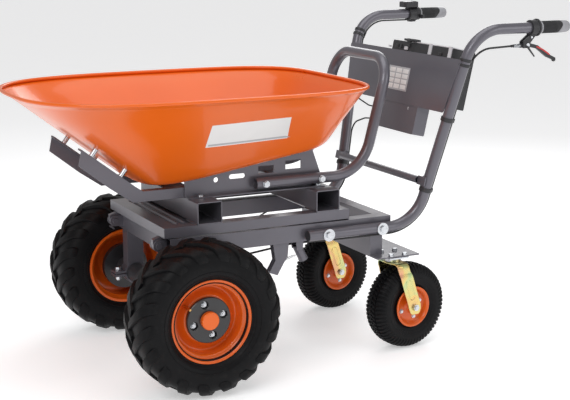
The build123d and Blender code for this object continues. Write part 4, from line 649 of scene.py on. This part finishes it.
# ---------------------------------------------------------------- wheels
for name, side in SIDES.items():
    centre = (side * WHEEL_X, WHEEL_Y, WHEEL_R)
    axle = (side, 0, 0)
    lip = smooth_line(
        [
            (0.0596, 0.1145), (0.0608, 0.1152), (0.0622, 0.1148), (0.0628, 0.1128), (0.0618, 0.1102),
            (0.0592, 0.1078), (0.0555, 0.1062), (0.0500, 0.1048), (0.0462, 0.1015), (0.0450, 0.0975),
        ],
        4,
    )
    outer_well = smooth_line(
        [(0.0450, 0.0975), (0.042, 0.0955), (0.034, 0.0945), (0.022, 0.0935), (0.0145, 0.091),
         (0.0125, 0.086), (0.0165, 0.078), (0.024, 0.0705), (0.0285, 0.066), (0.0295, 0.060)], 4
    )
    back = [
        (0.0295, 0.0325), (0.0265, 0.0325), (0.0262, 0.0600), (0.0225, 0.066), (0.0125, 0.078),
        (0.0085, 0.087), (0.0085, 0.0965), (-0.045, 0.0965), (-0.05, 0.1015), (-0.0585, 0.1045),
        (-0.062, 0.108), (-0.062, 0.1148), (-0.059, 0.115), (-0.0588, 0.1085), (-0.05, 0.1045),
        (-0.04, 0.1035), (0.04, 0.1035), (0.05, 0.1048), (0.0588, 0.1085),
    ]
    mesh = lathe([tuple(p) for p in lip] + [tuple(p) for p in outer_well[1:]] + back, centre, axle)
    piece = put("drive_rim_" + name, mesh, "rim", "wheel_" + name, 30)
    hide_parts("rim_" + name)

    hub_piece(name, side)
    mesh = bmesh.new()
    stem = [
        (side * (WHEEL_X + 0.017), WHEEL_Y - 0.0625, WHEEL_R + 0.0405),
        (side * (WHEEL_X + 0.036), WHEEL_Y - 0.0600, WHEEL_R + 0.0388),
        (side * (WHEEL_X + 0.048), WHEEL_Y - 0.0560, WHEEL_R + 0.0362),
    ]
    sweep_tube(stem, lambda t: 0.0042 if t < 0.6 else 0.0034, 14, mesh)
    put("valve_stem_" + name, mesh, "brass", "wheel_" + name)

    # caster rim: dished disc with a rolled lip, hub boss and four bolts
    centre = caster_centres[name]
    dish = smooth_line(
        [
            (0.0375, 0.0600), (0.0395, 0.0612), (0.0412, 0.0600), (0.0415, 0.0575), (0.0398, 0.0545),
            (0.0362, 0.0515), (0.0310, 0.0485), (0.0272, 0.0450), (0.0258, 0.0395), (0.0262, 0.0300),
            (0.0285, 0.0215), (0.0340, 0.0165),
        ],
        4,
    )
    right = [tuple(p) for p in dish] + [(0.0438, 0.0150), (0.0438, 0.0065)]
    left = [(-x, r) for x, r in reversed(right)]
    under = [(-0.0362, 0.0562), (-0.030, 0.0535), (0.030, 0.0535), (0.0362, 0.0562)]
    mesh = lathe(right + left + under, centre, wheel_axis, 96)
    piece = put("caster_disc_" + name, mesh, "rim", "caster_" + name, 30)
    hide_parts("caster_rim_" + name)
    mesh = bmesh.new()
    across = Vector((-wheel_axis.y, wheel_axis.x, 0))
    for hand in (1, -1):
        for i in range(4):
            angle = math.radians(20 + 90 * i)
            spot = centre + wheel_axis * (0.0261 * hand)
            spot = spot + across * (0.036 * math.cos(angle)) + Vector((0, 0, 0.036 * math.sin(angle)))
            disc(mesh, placed(spot, wheel_axis * hand), 0.0066, 0.0008, 24, 0.0003)
            seat = spot + wheel_axis * (0.0008 * hand)
            disc(mesh, placed(seat, wheel_axis * hand), 0.0052, 0.0038, sides=6)
    put("caster_disc_bolts_" + name, mesh, "zinc", "caster_" + name)

# ---------------------------------------------------------------- tub
RIM_Z = 0.793
TUB_WALL = 0.003
CORNER_REACH = 0.030
RIM_BEAD = 0.0052


def oval(theta, half_x, middle, front, rear, front_power, rear_power):
    """A point of a tub outline at an angle."""
    c, s = math.cos(theta), math.sin(theta)
    power = rear_power if s > 0 else front_power
    length = rear if s > 0 else front
    return (
        half_x * math.copysign(abs(c) ** (2 / power), c),
        middle + length * math.copysign(abs(s) ** (2 / power), s),
    )


def floor_point(theta, grow=0.0, lift=0.0):
    """A point of the floor's outline, on the tilted floor."""
    x, y = oval(theta, 0.190 + grow, -0.035, 0.418 + grow, 0.128 + grow, 4.5, 4.5)
    return Vector((x, y, 0.5474 + 0.1629 * (y + 0.350) + lift))


def rim_point(theta, grow=0.0, z=RIM_Z):
    """A point of the rim's outline."""
    x, y = oval(theta, 0.363 + grow, -0.2895, 0.503 + grow, 0.480 + grow, 2.96, 4.27)
    return Vector((x, y, z))


def even_angles(count):
    """Angles that space points evenly round the rim and floor together."""
    fine = [2 * math.pi * i / 4000 for i in range(4001)]
    run = [0.0]
    for a, b in zip(fine, fine[1:]):
        step = (rim_point(b) - rim_point(a)).length + (floor_point(b) - floor_point(a)).length
        run.append(run[-1] + step)
    marks = [run[-1] * (i + 0.5) / count for i in range(count)]
    return [float(v) for v in np.interp(marks, run, fine)]


ANGLES = even_angles(220)
FLOOR_MIDDLE = Vector((0, -0.180, 0.5474 + 0.1629 * 0.170))


def wall_loop(share, inset, lift):
    """A loop part of the way up the wall."""
    loop = []
    for theta in ANGLES:
        low = floor_point(theta, -inset, lift)
        high = rim_point(theta, -inset)
        loop.append(low.lerp(high, share))
    return loop


def floor_loop(share, inset, lift):
    """A loop part of the way from the floor's middle out to its corner."""
    middle = FLOOR_MIDDLE + Vector((0, 0, lift))
    loop = []
    for theta in ANGLES:
        edge = floor_point(theta, -inset, lift)
        loop.append(middle.lerp(edge + (middle - edge).normalized() * CORNER_REACH, 1 - share))
    return loop


def corner_loops(inset, lift):
    """Loops that round the corner between floor and wall."""
    loops = []
    for step in range(7):
        t = step / 6
        loop = []
        for theta in ANGLES:
            low = floor_point(theta, -inset, lift)
            high = rim_point(theta, -inset)
            middle = FLOOR_MIDDLE + Vector((0, 0, lift))
            inward = (middle - low).normalized() * CORNER_REACH
            upward = (high - low).normalized() * CORNER_REACH
            a, c = low + inward, low + upward
            loop.append(a * (1 - t) ** 2 + low * (2 * t * (1 - t)) + c * t**2)
        loops.append(loop)
    return loops


mesh = bmesh.new()
FLOOR_SHARES = (0.97, 0.7, 0.35, 0.12)
WALL_SHARES = (0.2, 0.4, 0.6, 0.8, 0.93)
loops = [floor_loop(share, TUB_WALL, TUB_WALL) for share in FLOOR_SHARES]
loops += corner_loops(TUB_WALL, TUB_WALL)
loops += [wall_loop(share, TUB_WALL, TUB_WALL) for share in WALL_SHARES]
for turn in (-100, -70, -30, 10, 50, 90, 130, 170, 210, 250, 275):
    # the rolled edge, from the inner wall over the top to the outer wall
    angle = math.radians(180 - turn)
    out, rise = RIM_BEAD * math.cos(angle), RIM_BEAD * math.sin(angle)
    loops.append([rim_point(theta, out, RIM_Z + rise) for theta in ANGLES])
loops += [wall_loop(share, 0.0, 0.0) for share in reversed(WALL_SHARES)]
loops += list(reversed(corner_loops(0.0, 0.0)))
loops += [floor_loop(share, 0.0, 0.0) for share in reversed(FLOOR_SHARES)]
rings(mesh, loops, cap=True)
piece = put("tub_shell", mesh, "orange", "tipper", 60)
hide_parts("tub")


def wall_at(y, z, side=1):
    """A point on the tub's outer side wall at a place along it and a height."""
    low, high = -math.pi / 2 + 0.01, math.pi / 2 - 0.01
    for _ in range(50):
        theta = (low + high) / 2
        a, b = floor_point(theta), rim_point(theta)
        share = (z - a.z) / (b.z - a.z)
        p = a.lerp(b, share)
        if p.y < y:
            low = theta
        else:
            high = theta
    return Vector((p.x * side, p.y, p.z))


def wall_patch(name, spans, lift, thick, key, body):
    """A thin sticker on the tub's wall over a span of places and heights, slanted with it."""
    (y0, y1), low_line, high_line = spans
    skew = 0.017
    across, up = 40, 10
    mesh = bmesh.new()
    grid = {}
    for layer, off in ((0, lift), (1, lift - thick)):
        for i in range(across + 1):
            s = i / across
            z0 = low_line[0] + (low_line[1] - low_line[0]) * s
            z1 = high_line[0] + (high_line[1] - high_line[0]) * s
            for j in range(up + 1):
                y = y0 + (y1 - y0) * s + skew * s * (1 - j / up)
                z = z0 + (z1 - z0) * j / up
                p = wall_at(y, z)
                du = wall_at(y, z + 0.002) - p
                dv = wall_at(y + 0.002, z) - p
                normal = dv.cross(du).normalized()
                if normal.x < 0:
                    normal = -normal
                grid[layer, i, j] = mesh.verts.new(p + normal * off)
    for layer in (0, 1):
        for i in range(across):
            for j in range(up):
                corners = ((i, j), (i + 1, j), (i + 1, j + 1), (i, j + 1))
                mesh.faces.new([grid[(layer, *spot)] for spot in corners])
    edge = (
        [(i, 0) for i in range(across)]
        + [(across, j) for j in range(up)]
        + [(i, up) for i in range(across, 0, -1)]
        + [(0, j) for j in range(up, 0, -1)]
    )
    for a, b in zip(edge, edge[1:] + edge[:1]):
        mesh.faces.new([grid[(0, *a)], grid[(0, *b)], grid[(1, *b)], grid[(1, *a)]])
    return put(name, mesh, key, body, 40)


wall_patch(
    "tub_sticker", ((-0.336, -0.102), (0.655, 0.662), (0.7215, 0.729)), 0.0005, 0.0008, "white", "tipper"
)
wall_patch(
    "tub_sticker_band", ((-0.330, -0.094), (0.6585, 0.665), (0.6635, 0.670)), 0.0008, 0.0009,
    "label_grey", "tipper",
)

# ---------------------------------------------------------------- caster forks
FORK_TOP, FORK_SHEET = 0.267, 0.004
SLOT_STEPS = 48


def fork_piece(name, centre):
    """The bent sheet fork: a crown, two legs with a crease, and a pressed slot in each leg."""
    across = wheel_axis
    trail = Vector((-wheel_axis.y, wheel_axis.x, 0))
    pivot = centre - trail * CASTER_TRAIL
    up = Vector((0, 0, 1))
    mesh = bmesh.new()
    # each station of the sheet's middle: (out from the pivot, height, middle along the trail, half width)
    leg = [
        (0.0, FORK_TOP - 0.002, 0.0, 0.026),
        (0.018, FORK_TOP - 0.002, 0.0, 0.0245),
        (0.034, FORK_TOP - 0.002, 0.001, 0.0215),
        (0.0415, FORK_TOP - 0.0042, 0.0015, 0.0205),
        (0.0462, FORK_TOP - 0.0095, 0.0025, 0.0205),
        (0.0476, FORK_TOP - 0.018, 0.0042, 0.0208),
        (0.0472, FORK_TOP - 0.027, 0.0075, 0.0212),
        (0.0476, FORK_TOP - 0.033, 0.0105, 0.0222),
        (0.0492, FORK_TOP - 0.039, 0.0132, 0.0226),
        (0.0494, FORK_TOP - 0.048, 0.0162, 0.0228),
        (0.0484, CASTER_R + 0.045, 0.0325, 0.0230),
        (0.0480, CASTER_R + 0.008, 0.0462, 0.0230),
        (0.0480, CASTER_R - 0.006, 0.0486, 0.0215),
        (0.0480, CASTER_R - 0.015, 0.0490, 0.0178),
        (0.0480, CASTER_R - 0.0215, 0.0490, 0.0120),
    ]
    for hand in (1, -1):
        line = [Vector((out, z)) for out, z, middle, half in leg]
        loops = []
        for i, (_, _, middle, half) in enumerate(leg):
            ahead = (line[min(i + 1, len(line) - 1)] - line[max(i - 1, 0)]).normalized()
            skin = Vector((-ahead.y, ahead.x)) * (FORK_SHEET / 2 - 0.0002)
            loop = []
            for sheet_side, edge in ((1, -1), (1, 1), (-1, 1), (-1, -1)):
                spot = line[i] + skin * sheet_side
                along = middle + half * edge
                loop.append(pivot + across * (hand * spot.x) + trail * along + up * (spot.y - pivot.z))
            loops.append(loop)
        rings(mesh, loops, cap=True)
        # pressed slot, a low ridge round a long oval on the leg's outer face
        top = Vector((0.0205, CASTER_R + 0.077))
        foot = Vector((0.0365, CASTER_R + 0.034))
        down = (foot - top).normalized()
        over = Vector((-down.y, down.x))
        path = []
        for k in range(SLOT_STEPS):
            turn = 2 * math.pi * k / SLOT_STEPS
            end = foot if math.cos(turn) > 0 else top
            spot = end + down * (0.0095 * math.cos(turn)) + over * (0.0095 * math.sin(turn))
            face_out = 0.0480 + 0.0018 + 0.0010 * (spot.y - CASTER_R - 0.008) / 0.08
            path.append(pivot + across * (hand * face_out) + trail * spot.x + up * (spot.y - pivot.z))
        loops = []
        for k, spot in enumerate(path):
            ahead = (path[(k + 1) % SLOT_STEPS] - path[k - 1]).normalized()
            out_dir = across * hand
            wide = ahead.cross(out_dir).normalized()
            loops.append([
                spot + wide * 0.0016 - out_dir * 0.0006,
                spot + wide * 0.0006 + out_dir * 0.0009,
                spot - wide * 0.0006 + out_dir * 0.0009,
                spot - wide * 0.0016 - out_dir * 0.0006,
            ])
        rings(mesh, loops, close_across=True)
    piece = put("fork_sheet_" + name, mesh, "yellow", "fork_" + name, 42)
    shape = piece.modifiers.new("rounding", "BEVEL")
    shape.width = 0.0012
    shape.segments = 2
    shape.limit_method = "ANGLE"
    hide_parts("caster_fork_" + name)


for name in SIDES:
    fork_piece(name, caster_centres[name])

# ---------------------------------------------------------------- latch spring
spring_low, spring_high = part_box("latch_spring")
coil_start = Vector((0.198, spring_low[1] + 0.001, spring_low[2] + 0.0042))
coil_end = Vector((0.198, spring_high[1] - 0.001, spring_high[2] - 0.0042))
coil_dir = (coil_end - coil_start).normalized()
coil_side = Vector((1, 0, 0))
coil_up = coil_dir.cross(coil_side)
coil_length = (coil_end - coil_start).length
COIL_TURNS, COIL_STEPS = 13, 14
points = []
for i in range(COIL_TURNS * COIL_STEPS + 1):
    turn = 2 * math.pi * i / COIL_STEPS
    share = i / (COIL_TURNS * COIL_STEPS)
    reach = 0.0036 * min(1, 6 * share, 6 * (1 - share))
    points.append(
        coil_start
        + coil_dir * (coil_length * share)
        + coil_side * (reach * math.cos(turn))
        + coil_up * (reach * math.sin(turn))
    )
mesh = sweep_tube(points, 0.0008, 6)
piece = put("latch_coil", mesh, "zinc", None)
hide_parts("latch_spring")
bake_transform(piece)


# ---------------------------------------------------------------- handle fittings
def handle_axis(side, z):
    """A point on a handle tube's leaning run, and the tube's direction there."""
    rise = z - TUBE_FOOT_Z
    spot = Vector((side * (TUBE_X + SPLAY * rise), TUBE_FOOT_Y + LEAN * rise, z))
    return spot, Vector((side * SPLAY, LEAN, 1)).normalized()


def band(mesh, spot, along, radius, width, thick=0.0022):
    """A moulded band round a tube, with rounded edges."""
    half = width / 2
    profile = [
        (-half, radius - 0.0006), (-half, radius + thick * 0.6), (-half + 0.001, radius + thick),
        (half - 0.001, radius + thick), (half, radius + thick * 0.6), (half, radius - 0.0006),
    ]
    lathe(profile, spot, along, 40, True, mesh)


def arc_point(side, share):
    """A point on the bend between a handle's leaning run and its level grip end."""
    corner = Vector((side * GRIP_X, BEND_Y, GRIP_Z))
    lean = Vector((side * SPLAY, LEAN, 1)).normalized()
    back = Vector((0, 1, 0))
    turn = lean.angle(back)
    reach = BEND_R * math.tan(turn / 2)
    start = corner - lean * reach
    inward = (back - lean * back.dot(lean)).normalized()
    middle = start + inward * BEND_R
    angle = turn * share
    spot = middle - inward * (BEND_R * math.cos(angle)) + lean * (BEND_R * math.sin(angle))
    return spot, (lean * math.cos(angle) + inward * math.sin(angle)).normalized()


mesh = bmesh.new()
for side, (spot, along) in ((1, handle_axis(1, 0.852)), (-1, arc_point(-1, 0.22))):
    for shift in (-0.0075, 0.0075):
        band(mesh, spot + along * shift, along, TUBE_R, 0.0085)
    rear = (Vector((0, 1, 0)) - along * along.y).normalized()
    block(mesh, placed(spot + rear * (TUBE_R + 0.0035), rear, along), (0.022, 0.013, 0.005), 0.0012)
put("upper_clips", mesh, "plastic", "chassis")

mesh = bmesh.new()
for side in SIDES.values():
    tube_end = (side * TUBE_X, -0.0143, TUBE_FOOT_Z)
    profile = [(-0.002, 0.0134), (0.0008, 0.0150), (0.0016, 0.0138), (0.0024, 0.009), (0.0026, 0.001)]
    lathe(profile + [(-0.002, 0.001)], tube_end, (0, -1, 0), 40, True, mesh)
put("tube_plugs", mesh, "plastic", "chassis")

# grips: ribbed rubber in front, a hard grey end behind, meeting along a wave
GRIP_WAVE = 0.007
for name, side in SIDES.items():
    middle = Vector((side * GRIP_X, 0, GRIP_Z))

    def grip_loop(radius, along, wave=0.0, count=72):
        loop = []
        for k in range(count):
            turn = 2 * math.pi * k / count
            y = along + wave * math.sin(turn + 0.6) + wave * 0.25 * math.sin(3 * turn)
            loop.append(middle + Vector((radius * math.cos(turn), y, radius * math.sin(turn))))
        return loop

    mesh = bmesh.new()
    loops = [grip_loop(0.0162, 0.6988), grip_loop(0.0178, 0.6988), grip_loop(0.0182, 0.7000)]
    for k in range(13):
        start = 0.7025 + 0.0036 * k
        loops += [
            grip_loop(0.0182, start), grip_loop(0.0173, start + 0.0006),
            grip_loop(0.0173, start + 0.0014), grip_loop(0.0182, start + 0.0020),
        ]
    wavy_edge = ((0.0182, 0.7600), (0.0176, 0.7608), (0.0163, 0.7608))
    loops += [grip_loop(radius, along, GRIP_WAVE) for radius, along in wavy_edge]
    rings(mesh, loops, close_across=True)
    piece = put("grip_rubber_" + name, mesh, "grip", "chassis", 50)
    mesh = bmesh.new()
    wavy_edge = ((0.0163, 0.7610), (0.0178, 0.7610), (0.0183, 0.7618))
    loops = [grip_loop(radius, along, GRIP_WAVE) for radius, along in wavy_edge]
    loops.append(grip_loop(0.0183, 0.7720, 0.002))
    dome = (
        (0.0178, 0.7800), (0.0174, 0.7880), (0.0166, 0.7930), (0.0148, 0.7962), (0.0120, 0.7976),
        (0.004, 0.7980),
    )
    loops += [grip_loop(radius, along) for radius, along in dome]
    rings(mesh, loops, cap=True)
    put("grip_end_" + name, mesh, "grey", "chassis", 50)
    mesh = bmesh.new()
    collar = [
        (0.6924, 0.0163), (0.6924, 0.0178), (0.6930, 0.0186), (0.6978, 0.0186), (0.6984, 0.0178),
        (0.6984, 0.0163),
    ]
    lathe(collar, middle, (0, 1, 0), 56, True, mesh)
    put("grip_collar_" + name, mesh, "grey", "chassis", 50)
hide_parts("grips", "grip_caps")

# brake lever: red insert and ball end on the blade; screws, adjuster and lock on the perch
LEVER_Y, LEVER_Z = 0.6495, 0.896
mesh = bmesh.new()
ball = bmesh.ops.create_uvsphere(mesh, u_segments=24, v_segments=14, radius=0.0064)["verts"]
bmesh.ops.translate(mesh, vec=(GRIP_X, 0.7510, 0.8485), verts=ball)
put("lever_ball", mesh, "black_metal", "brake")
mesh = bmesh.new()
for hand in (1, -1):
    spots = [
        (LEVER_Y + 0.034, LEVER_Z - 0.0060), (LEVER_Y + 0.058, LEVER_Z - 0.0165),
        (LEVER_Y + 0.084, LEVER_Z - 0.0325),
    ]
    line = [Vector((GRIP_X + hand * 0.0050, y, z)) for y, z in smooth_line(spots, 5)]
    loops = []
    for k, spot in enumerate(line):
        ahead = (line[min(k + 1, len(line) - 1)] - line[max(k - 1, 0)]).normalized()
        wide = Vector((1, 0, 0)).cross(ahead).normalized() * (0.0026 if 0 < k < len(line) - 1 else 0.0012)
        out_dir = Vector((hand, 0, 0))
        loops.append([
            spot + wide - out_dir * 0.0008, spot + wide * 0.8 + out_dir * 0.0007,
            spot - wide * 0.8 + out_dir * 0.0007, spot - wide - out_dir * 0.0008,
        ])
    rings(mesh, loops, cap=True)
put("lever_insert", mesh, "red", "brake")

mesh = bmesh.new()
for hand in (1, -1):
    x = GRIP_X + hand * 0.0100
    disc(mesh, placed((x, LEVER_Y, LEVER_Z), (hand, 0, 0)), 0.0056, 0.0026, 24)
    nut_place = placed((x, LEVER_Y + 0.012, LEVER_Z + 0.022), (hand, 0, 0))
    disc(mesh, nut_place, 0.0036, 0.0022, sides=6)
for k in range(5):
    lathe(
        [(0.0006, 0.0040), (0.0006, 0.0052), (0.0022, 0.0052), (0.0022, 0.0040)],
        (GRIP_X, 0.6225 - 0.0036 * k, LEVER_Z - 0.002), (0, -1, 0), 24, True, mesh,
    )
disc(mesh, placed((GRIP_X, 0.6265, LEVER_Z - 0.002), (0, -1, 0)), 0.0066, 0.0034, sides=6)
put("perch_screws", mesh, "zinc", "chassis")
mesh = bmesh.new()
band(mesh, Vector((GRIP_X, 0.6845, GRIP_Z)), Vector((0, 1, 0)), 0.0222, 0.0060, 0.0034)
sweep_tube(
    [(GRIP_X + 0.011, LEVER_Y - 0.004, LEVER_Z - 0.003), (GRIP_X + 0.0125, LEVER_Y + 0.008, LEVER_Z - 0.018),
     (GRIP_X + 0.0125, LEVER_Y + 0.022, LEVER_Z - 0.034)],
    lambda t: 0.0034 - 0.0012 * t, 12, mesh,
)
put("perch_lock", mesh, "plastic", "chassis")

# display pod and throttle body
low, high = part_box("display")
pod = Vector(((low[0] + high[0]) / 2, (low[1] + high[1]) / 2, high[2]))
mesh = bmesh.new()
block(mesh, placed(pod + Vector((0, -0.006, 0.0002)), (0, 0, 1), (1, 0, 0)), (0.034, 0.030, 0.0012), 0.0005)
put("display_screen", mesh, "glass", "chassis")
mesh = bmesh.new()
for shift in (-0.0115, 0.0, 0.0115):
    place = placed(pod + Vector((shift, 0.0185, -0.0002)), (0, 0, 1), (1, 0, 0))
    disc(mesh, place, 0.0038, 0.0016, 20, 0.0005)
place = placed(pod + Vector((0, -0.006, -0.0010)), (0, 0, 1), (1, 0, 0))
block(mesh, place, (0.0385, 0.0345, 0.0022), 0.0008)
band(mesh, Vector((-GRIP_X, 0.6535, GRIP_Z)), Vector((0, 1, 0)), 0.0216, 0.0050, 0.0016)
band(mesh, Vector((-GRIP_X, 0.6805, GRIP_Z)), Vector((0, 1, 0)), 0.0216, 0.0050, 0.0016)
block(mesh, placed((-GRIP_X, 0.667, GRIP_Z - 0.0235), (0, 0, -1), (0, 1, 0)), (0.024, 0.017, 0.006), 0.0015)
put("throttle_trim", mesh, "plastic", "chassis")
mesh = bmesh.new()
disc(mesh, placed((-GRIP_X, 0.667, GRIP_Z - 0.0262), (0, 0, -1), (0, 1, 0)), 0.0036, 0.0016, 20)
put("throttle_screw", mesh, "zinc", "chassis")

# ---------------------------------------------------------------- panel, controller and battery
panel_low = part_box("panel")[0]
face_normal = Vector((0, -math.cos(LEAN_ANGLE), math.sin(LEAN_ANGLE)))
face_up = Vector((0, math.sin(LEAN_ANGLE), math.cos(LEAN_ANGLE)))


def on_panel(x, z, lift=0.0):
    """A place on the panel's front face, with Z out of it and Y up along it."""
    y = panel_low[1] + LEAN * (z - panel_low[2])
    made = Matrix((Vector((1, 0, 0)), face_up, face_normal)).transposed().to_4x4()
    made.translation = Vector((x, y, z)) + face_normal * lift
    return made


LABEL_X, LABEL_Z, LABEL_W, LABEL_H = 0.0065, 0.777, 0.120, 0.072
mesh = bmesh.new()
block(mesh, on_panel(LABEL_X, LABEL_Z, 0.0004), (LABEL_W, LABEL_H, 0.0006), 0.0001)
put("panel_label", mesh, "label_grey", "chassis")
mesh = bmesh.new()
for row in range(4):
    for column in range(3):
        x = LABEL_X + (column - 1) * LABEL_W * 0.31
        z = LABEL_Z + (1.5 - row) * LABEL_H * 0.225 * math.cos(LEAN_ANGLE)
        block(mesh, on_panel(x, z, 0.0008), (LABEL_W * 0.26, LABEL_H * 0.18, 0.0004), 0.0001)
put("panel_label_squares", mesh, "white", "chassis")

low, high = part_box("controller")
mesh = bmesh.new()
for x in (low[0] + 0.022, high[0] - 0.050):
    z = panel_low[2] - 0.010
    place = on_panel(x, z)
    place.translation.y = low[1] + LEAN * (z - low[2])
    disc(mesh, place, 0.0050, 0.0022, 20)
    disc(mesh, placed(place.translation + face_normal * 0.0022, face_normal), 0.0030, 0.0014, sides=6)
put("controller_screws", mesh, "zinc", "chassis")

case_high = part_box("battery_case")[1]
pack_low, pack_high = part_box("battery_pack")
mesh = bmesh.new()
top_back = case_high[2] + 0.004
for x, z, wide, tall in (
    (pack_low[0] + 0.030, 0.873, 0.018, 0.009), (pack_low[0] + 0.052, 0.872, 0.010, 0.013),
    (pack_high[0] - 0.010, 0.877, 0.012, 0.010), (case_high[0] - 0.062, 0.868, 0.016, 0.009),
):
    block(mesh, on_panel(x, z, -0.0012), (wide, tall, 0.006), 0.0012)
handle_place = placed(
    (pack_high[0] + 0.004, (pack_low[1] + pack_high[1]) / 2 - 0.022, top_back + 0.001), face_up, (1, 0, 0)
)
block(mesh, handle_place, (0.046, 0.030, 0.007), 0.002)
put("battery_latches", mesh, "plastic", "chassis")
mesh = bmesh.new()
block(mesh, on_panel(pack_high[0] - 0.022, 0.869, 0.0005), (0.018, 0.010, 0.004), 0.001)
block(mesh, on_panel(pack_low[0] - 0.010, 0.868, 0.0005), (0.010, 0.006, 0.006), 0.001)
put("battery_clasp", mesh, "silver", "chassis")


# ---------------------------------------------------------------- weld beads
def weld(mesh, points, radius=0.0026, closed=False):
    """A rippled weld bead along straight runs between points."""
    pts = [Vector(p) for p in points]
    if closed:
        pts.append(pts[0])
    line = []
    for a, b in zip(pts, pts[1:]):
        count = max(2, int((b - a).length / 0.0014))
        line += [a.lerp(b, k / count) for k in range(count)]
    line.append(pts[-1])
    total = len(line) - 1

    def ripple(share):
        return radius * (0.82 + 0.18 * abs(math.sin(share * total * 0.9)))

    sweep_tube(line, ripple, 8, mesh)


RING_STEPS = 18
mesh = bmesh.new()
for name, side in SIDES.items():
    low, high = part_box("leg_" + name)
    x0, x1 = low[0], high[0]
    z = high[2] - 0.001
    weld(mesh, [(x0, low[1], z), (x1, low[1], z)])
    outer = x1 if side > 0 else x0
    weld(mesh, [(outer, low[1], z), (outer, high[1], z)])
    spot, along = handle_axis(side, 0.5040)
    inner = Vector((-side, 0, 0))
    ring = []
    for k in range(RING_STEPS):
        turn = 2 * math.pi * k / RING_STEPS
        ring.append(spot + inner * 0.0165 + Vector((0, 0.0122 * math.cos(turn), 0.0122 * math.sin(turn))))
    weld(mesh, ring, 0.0022, True)
for pocket in ("pocket_front", "pocket_rear"):
    low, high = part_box(pocket)
    for y in (low[1], high[1]):
        for side in SIDES.values():
            weld(mesh, [(side * 0.140, y, low[2]), (side * 0.212, y, low[2])], 0.0022)
put("weld_beads", mesh, "weld", "chassis")

# ---------------------------------------------------------------- stage, light and camera
bpy.ops.mesh.primitive_plane_add(size=40, location=(0, 0, 0))
floor = bpy.context.object
floor.name = "studio_floor"
pale = bpy.data.materials.new("pale_floor")
pale.use_nodes = True
pale_shader = pale.node_tree.nodes["Principled BSDF"]
pale_shader.inputs["Base Color"].default_value = (0.86, 0.86, 0.87, 1)
pale_shader.inputs["Roughness"].default_value = 0.6
pale_shader.inputs["Emission Color"].default_value = (1, 1, 1, 1)
pale_shader.inputs["Emission Strength"].default_value = 0.42
floor.data.materials.append(pale)

world = bpy.data.worlds.new("studio")
bpy.context.scene.world = world
world.use_nodes = True
backdrop = world.node_tree.nodes["Background"]
backdrop.inputs["Color"].default_value = (1.0, 1.0, 1.0, 1)
backdrop.inputs["Strength"].default_value = 0.44
bright = world.node_tree.nodes.new("ShaderNodeBackground")
bright.inputs["Strength"].default_value = 1.0
ray = world.node_tree.nodes.new("ShaderNodeLightPath")
blend = world.node_tree.nodes.new("ShaderNodeMixShader")
world_out = world.node_tree.nodes["World Output"]
world.node_tree.links.new(ray.outputs["Is Camera Ray"], blend.inputs["Fac"])
world.node_tree.links.new(backdrop.outputs["Background"], blend.inputs[1])
world.node_tree.links.new(bright.outputs["Background"], blend.inputs[2])
world.node_tree.links.new(blend.outputs["Shader"], world_out.inputs["Surface"])


def lamp(name, place, aim, size, power, colour=(1, 1, 1)):
    """An area light aimed at a point."""
    data = bpy.data.lights.new(name, "AREA")
    data.shape = "RECTANGLE"
    data.size, data.size_y = size
    data.energy = power
    data.color = colour
    made = bpy.data.objects.new(name, data)
    bpy.context.scene.collection.objects.link(made)
    made.location = place
    toward = Vector(aim) - Vector(place)
    made.rotation_euler = toward.to_track_quat("-Z", "Y").to_euler()
    return made


lamp("key_light", (2.6, -2.6, 3.0), (0, -0.1, 0.5), (2.2, 1.6), 52)
lamp("top_light", (0.3, 0.0, 3.6), (0, 0, 0.4), (3.2, 2.4), 46)
lamp("back_light", (-2.4, 1.8, 2.2), (0, 0, 0.6), (1.8, 1.8), 28)
lamp("fill_light", (3.2, 2.4, 1.6), (0, 0.2, 0.5), (1.6, 1.8), 20)

camera_data = bpy.data.cameras.new("camera")
camera = bpy.data.objects.new("camera", camera_data)
bpy.context.scene.collection.objects.link(camera)
camera_data.sensor_width = 36
camera_data.lens = 85.1
camera_data.shift_y = -0.0086
camera.location = (3.535, -1.7355, 1.259)
camera.rotation_euler = Vector((-0.8762, 0.4376, -0.2018)).to_track_quat("-Z", "Y").to_euler()
bpy.context.scene.camera = camera
bpy.context.scene.view_settings.view_transform = "Standard"
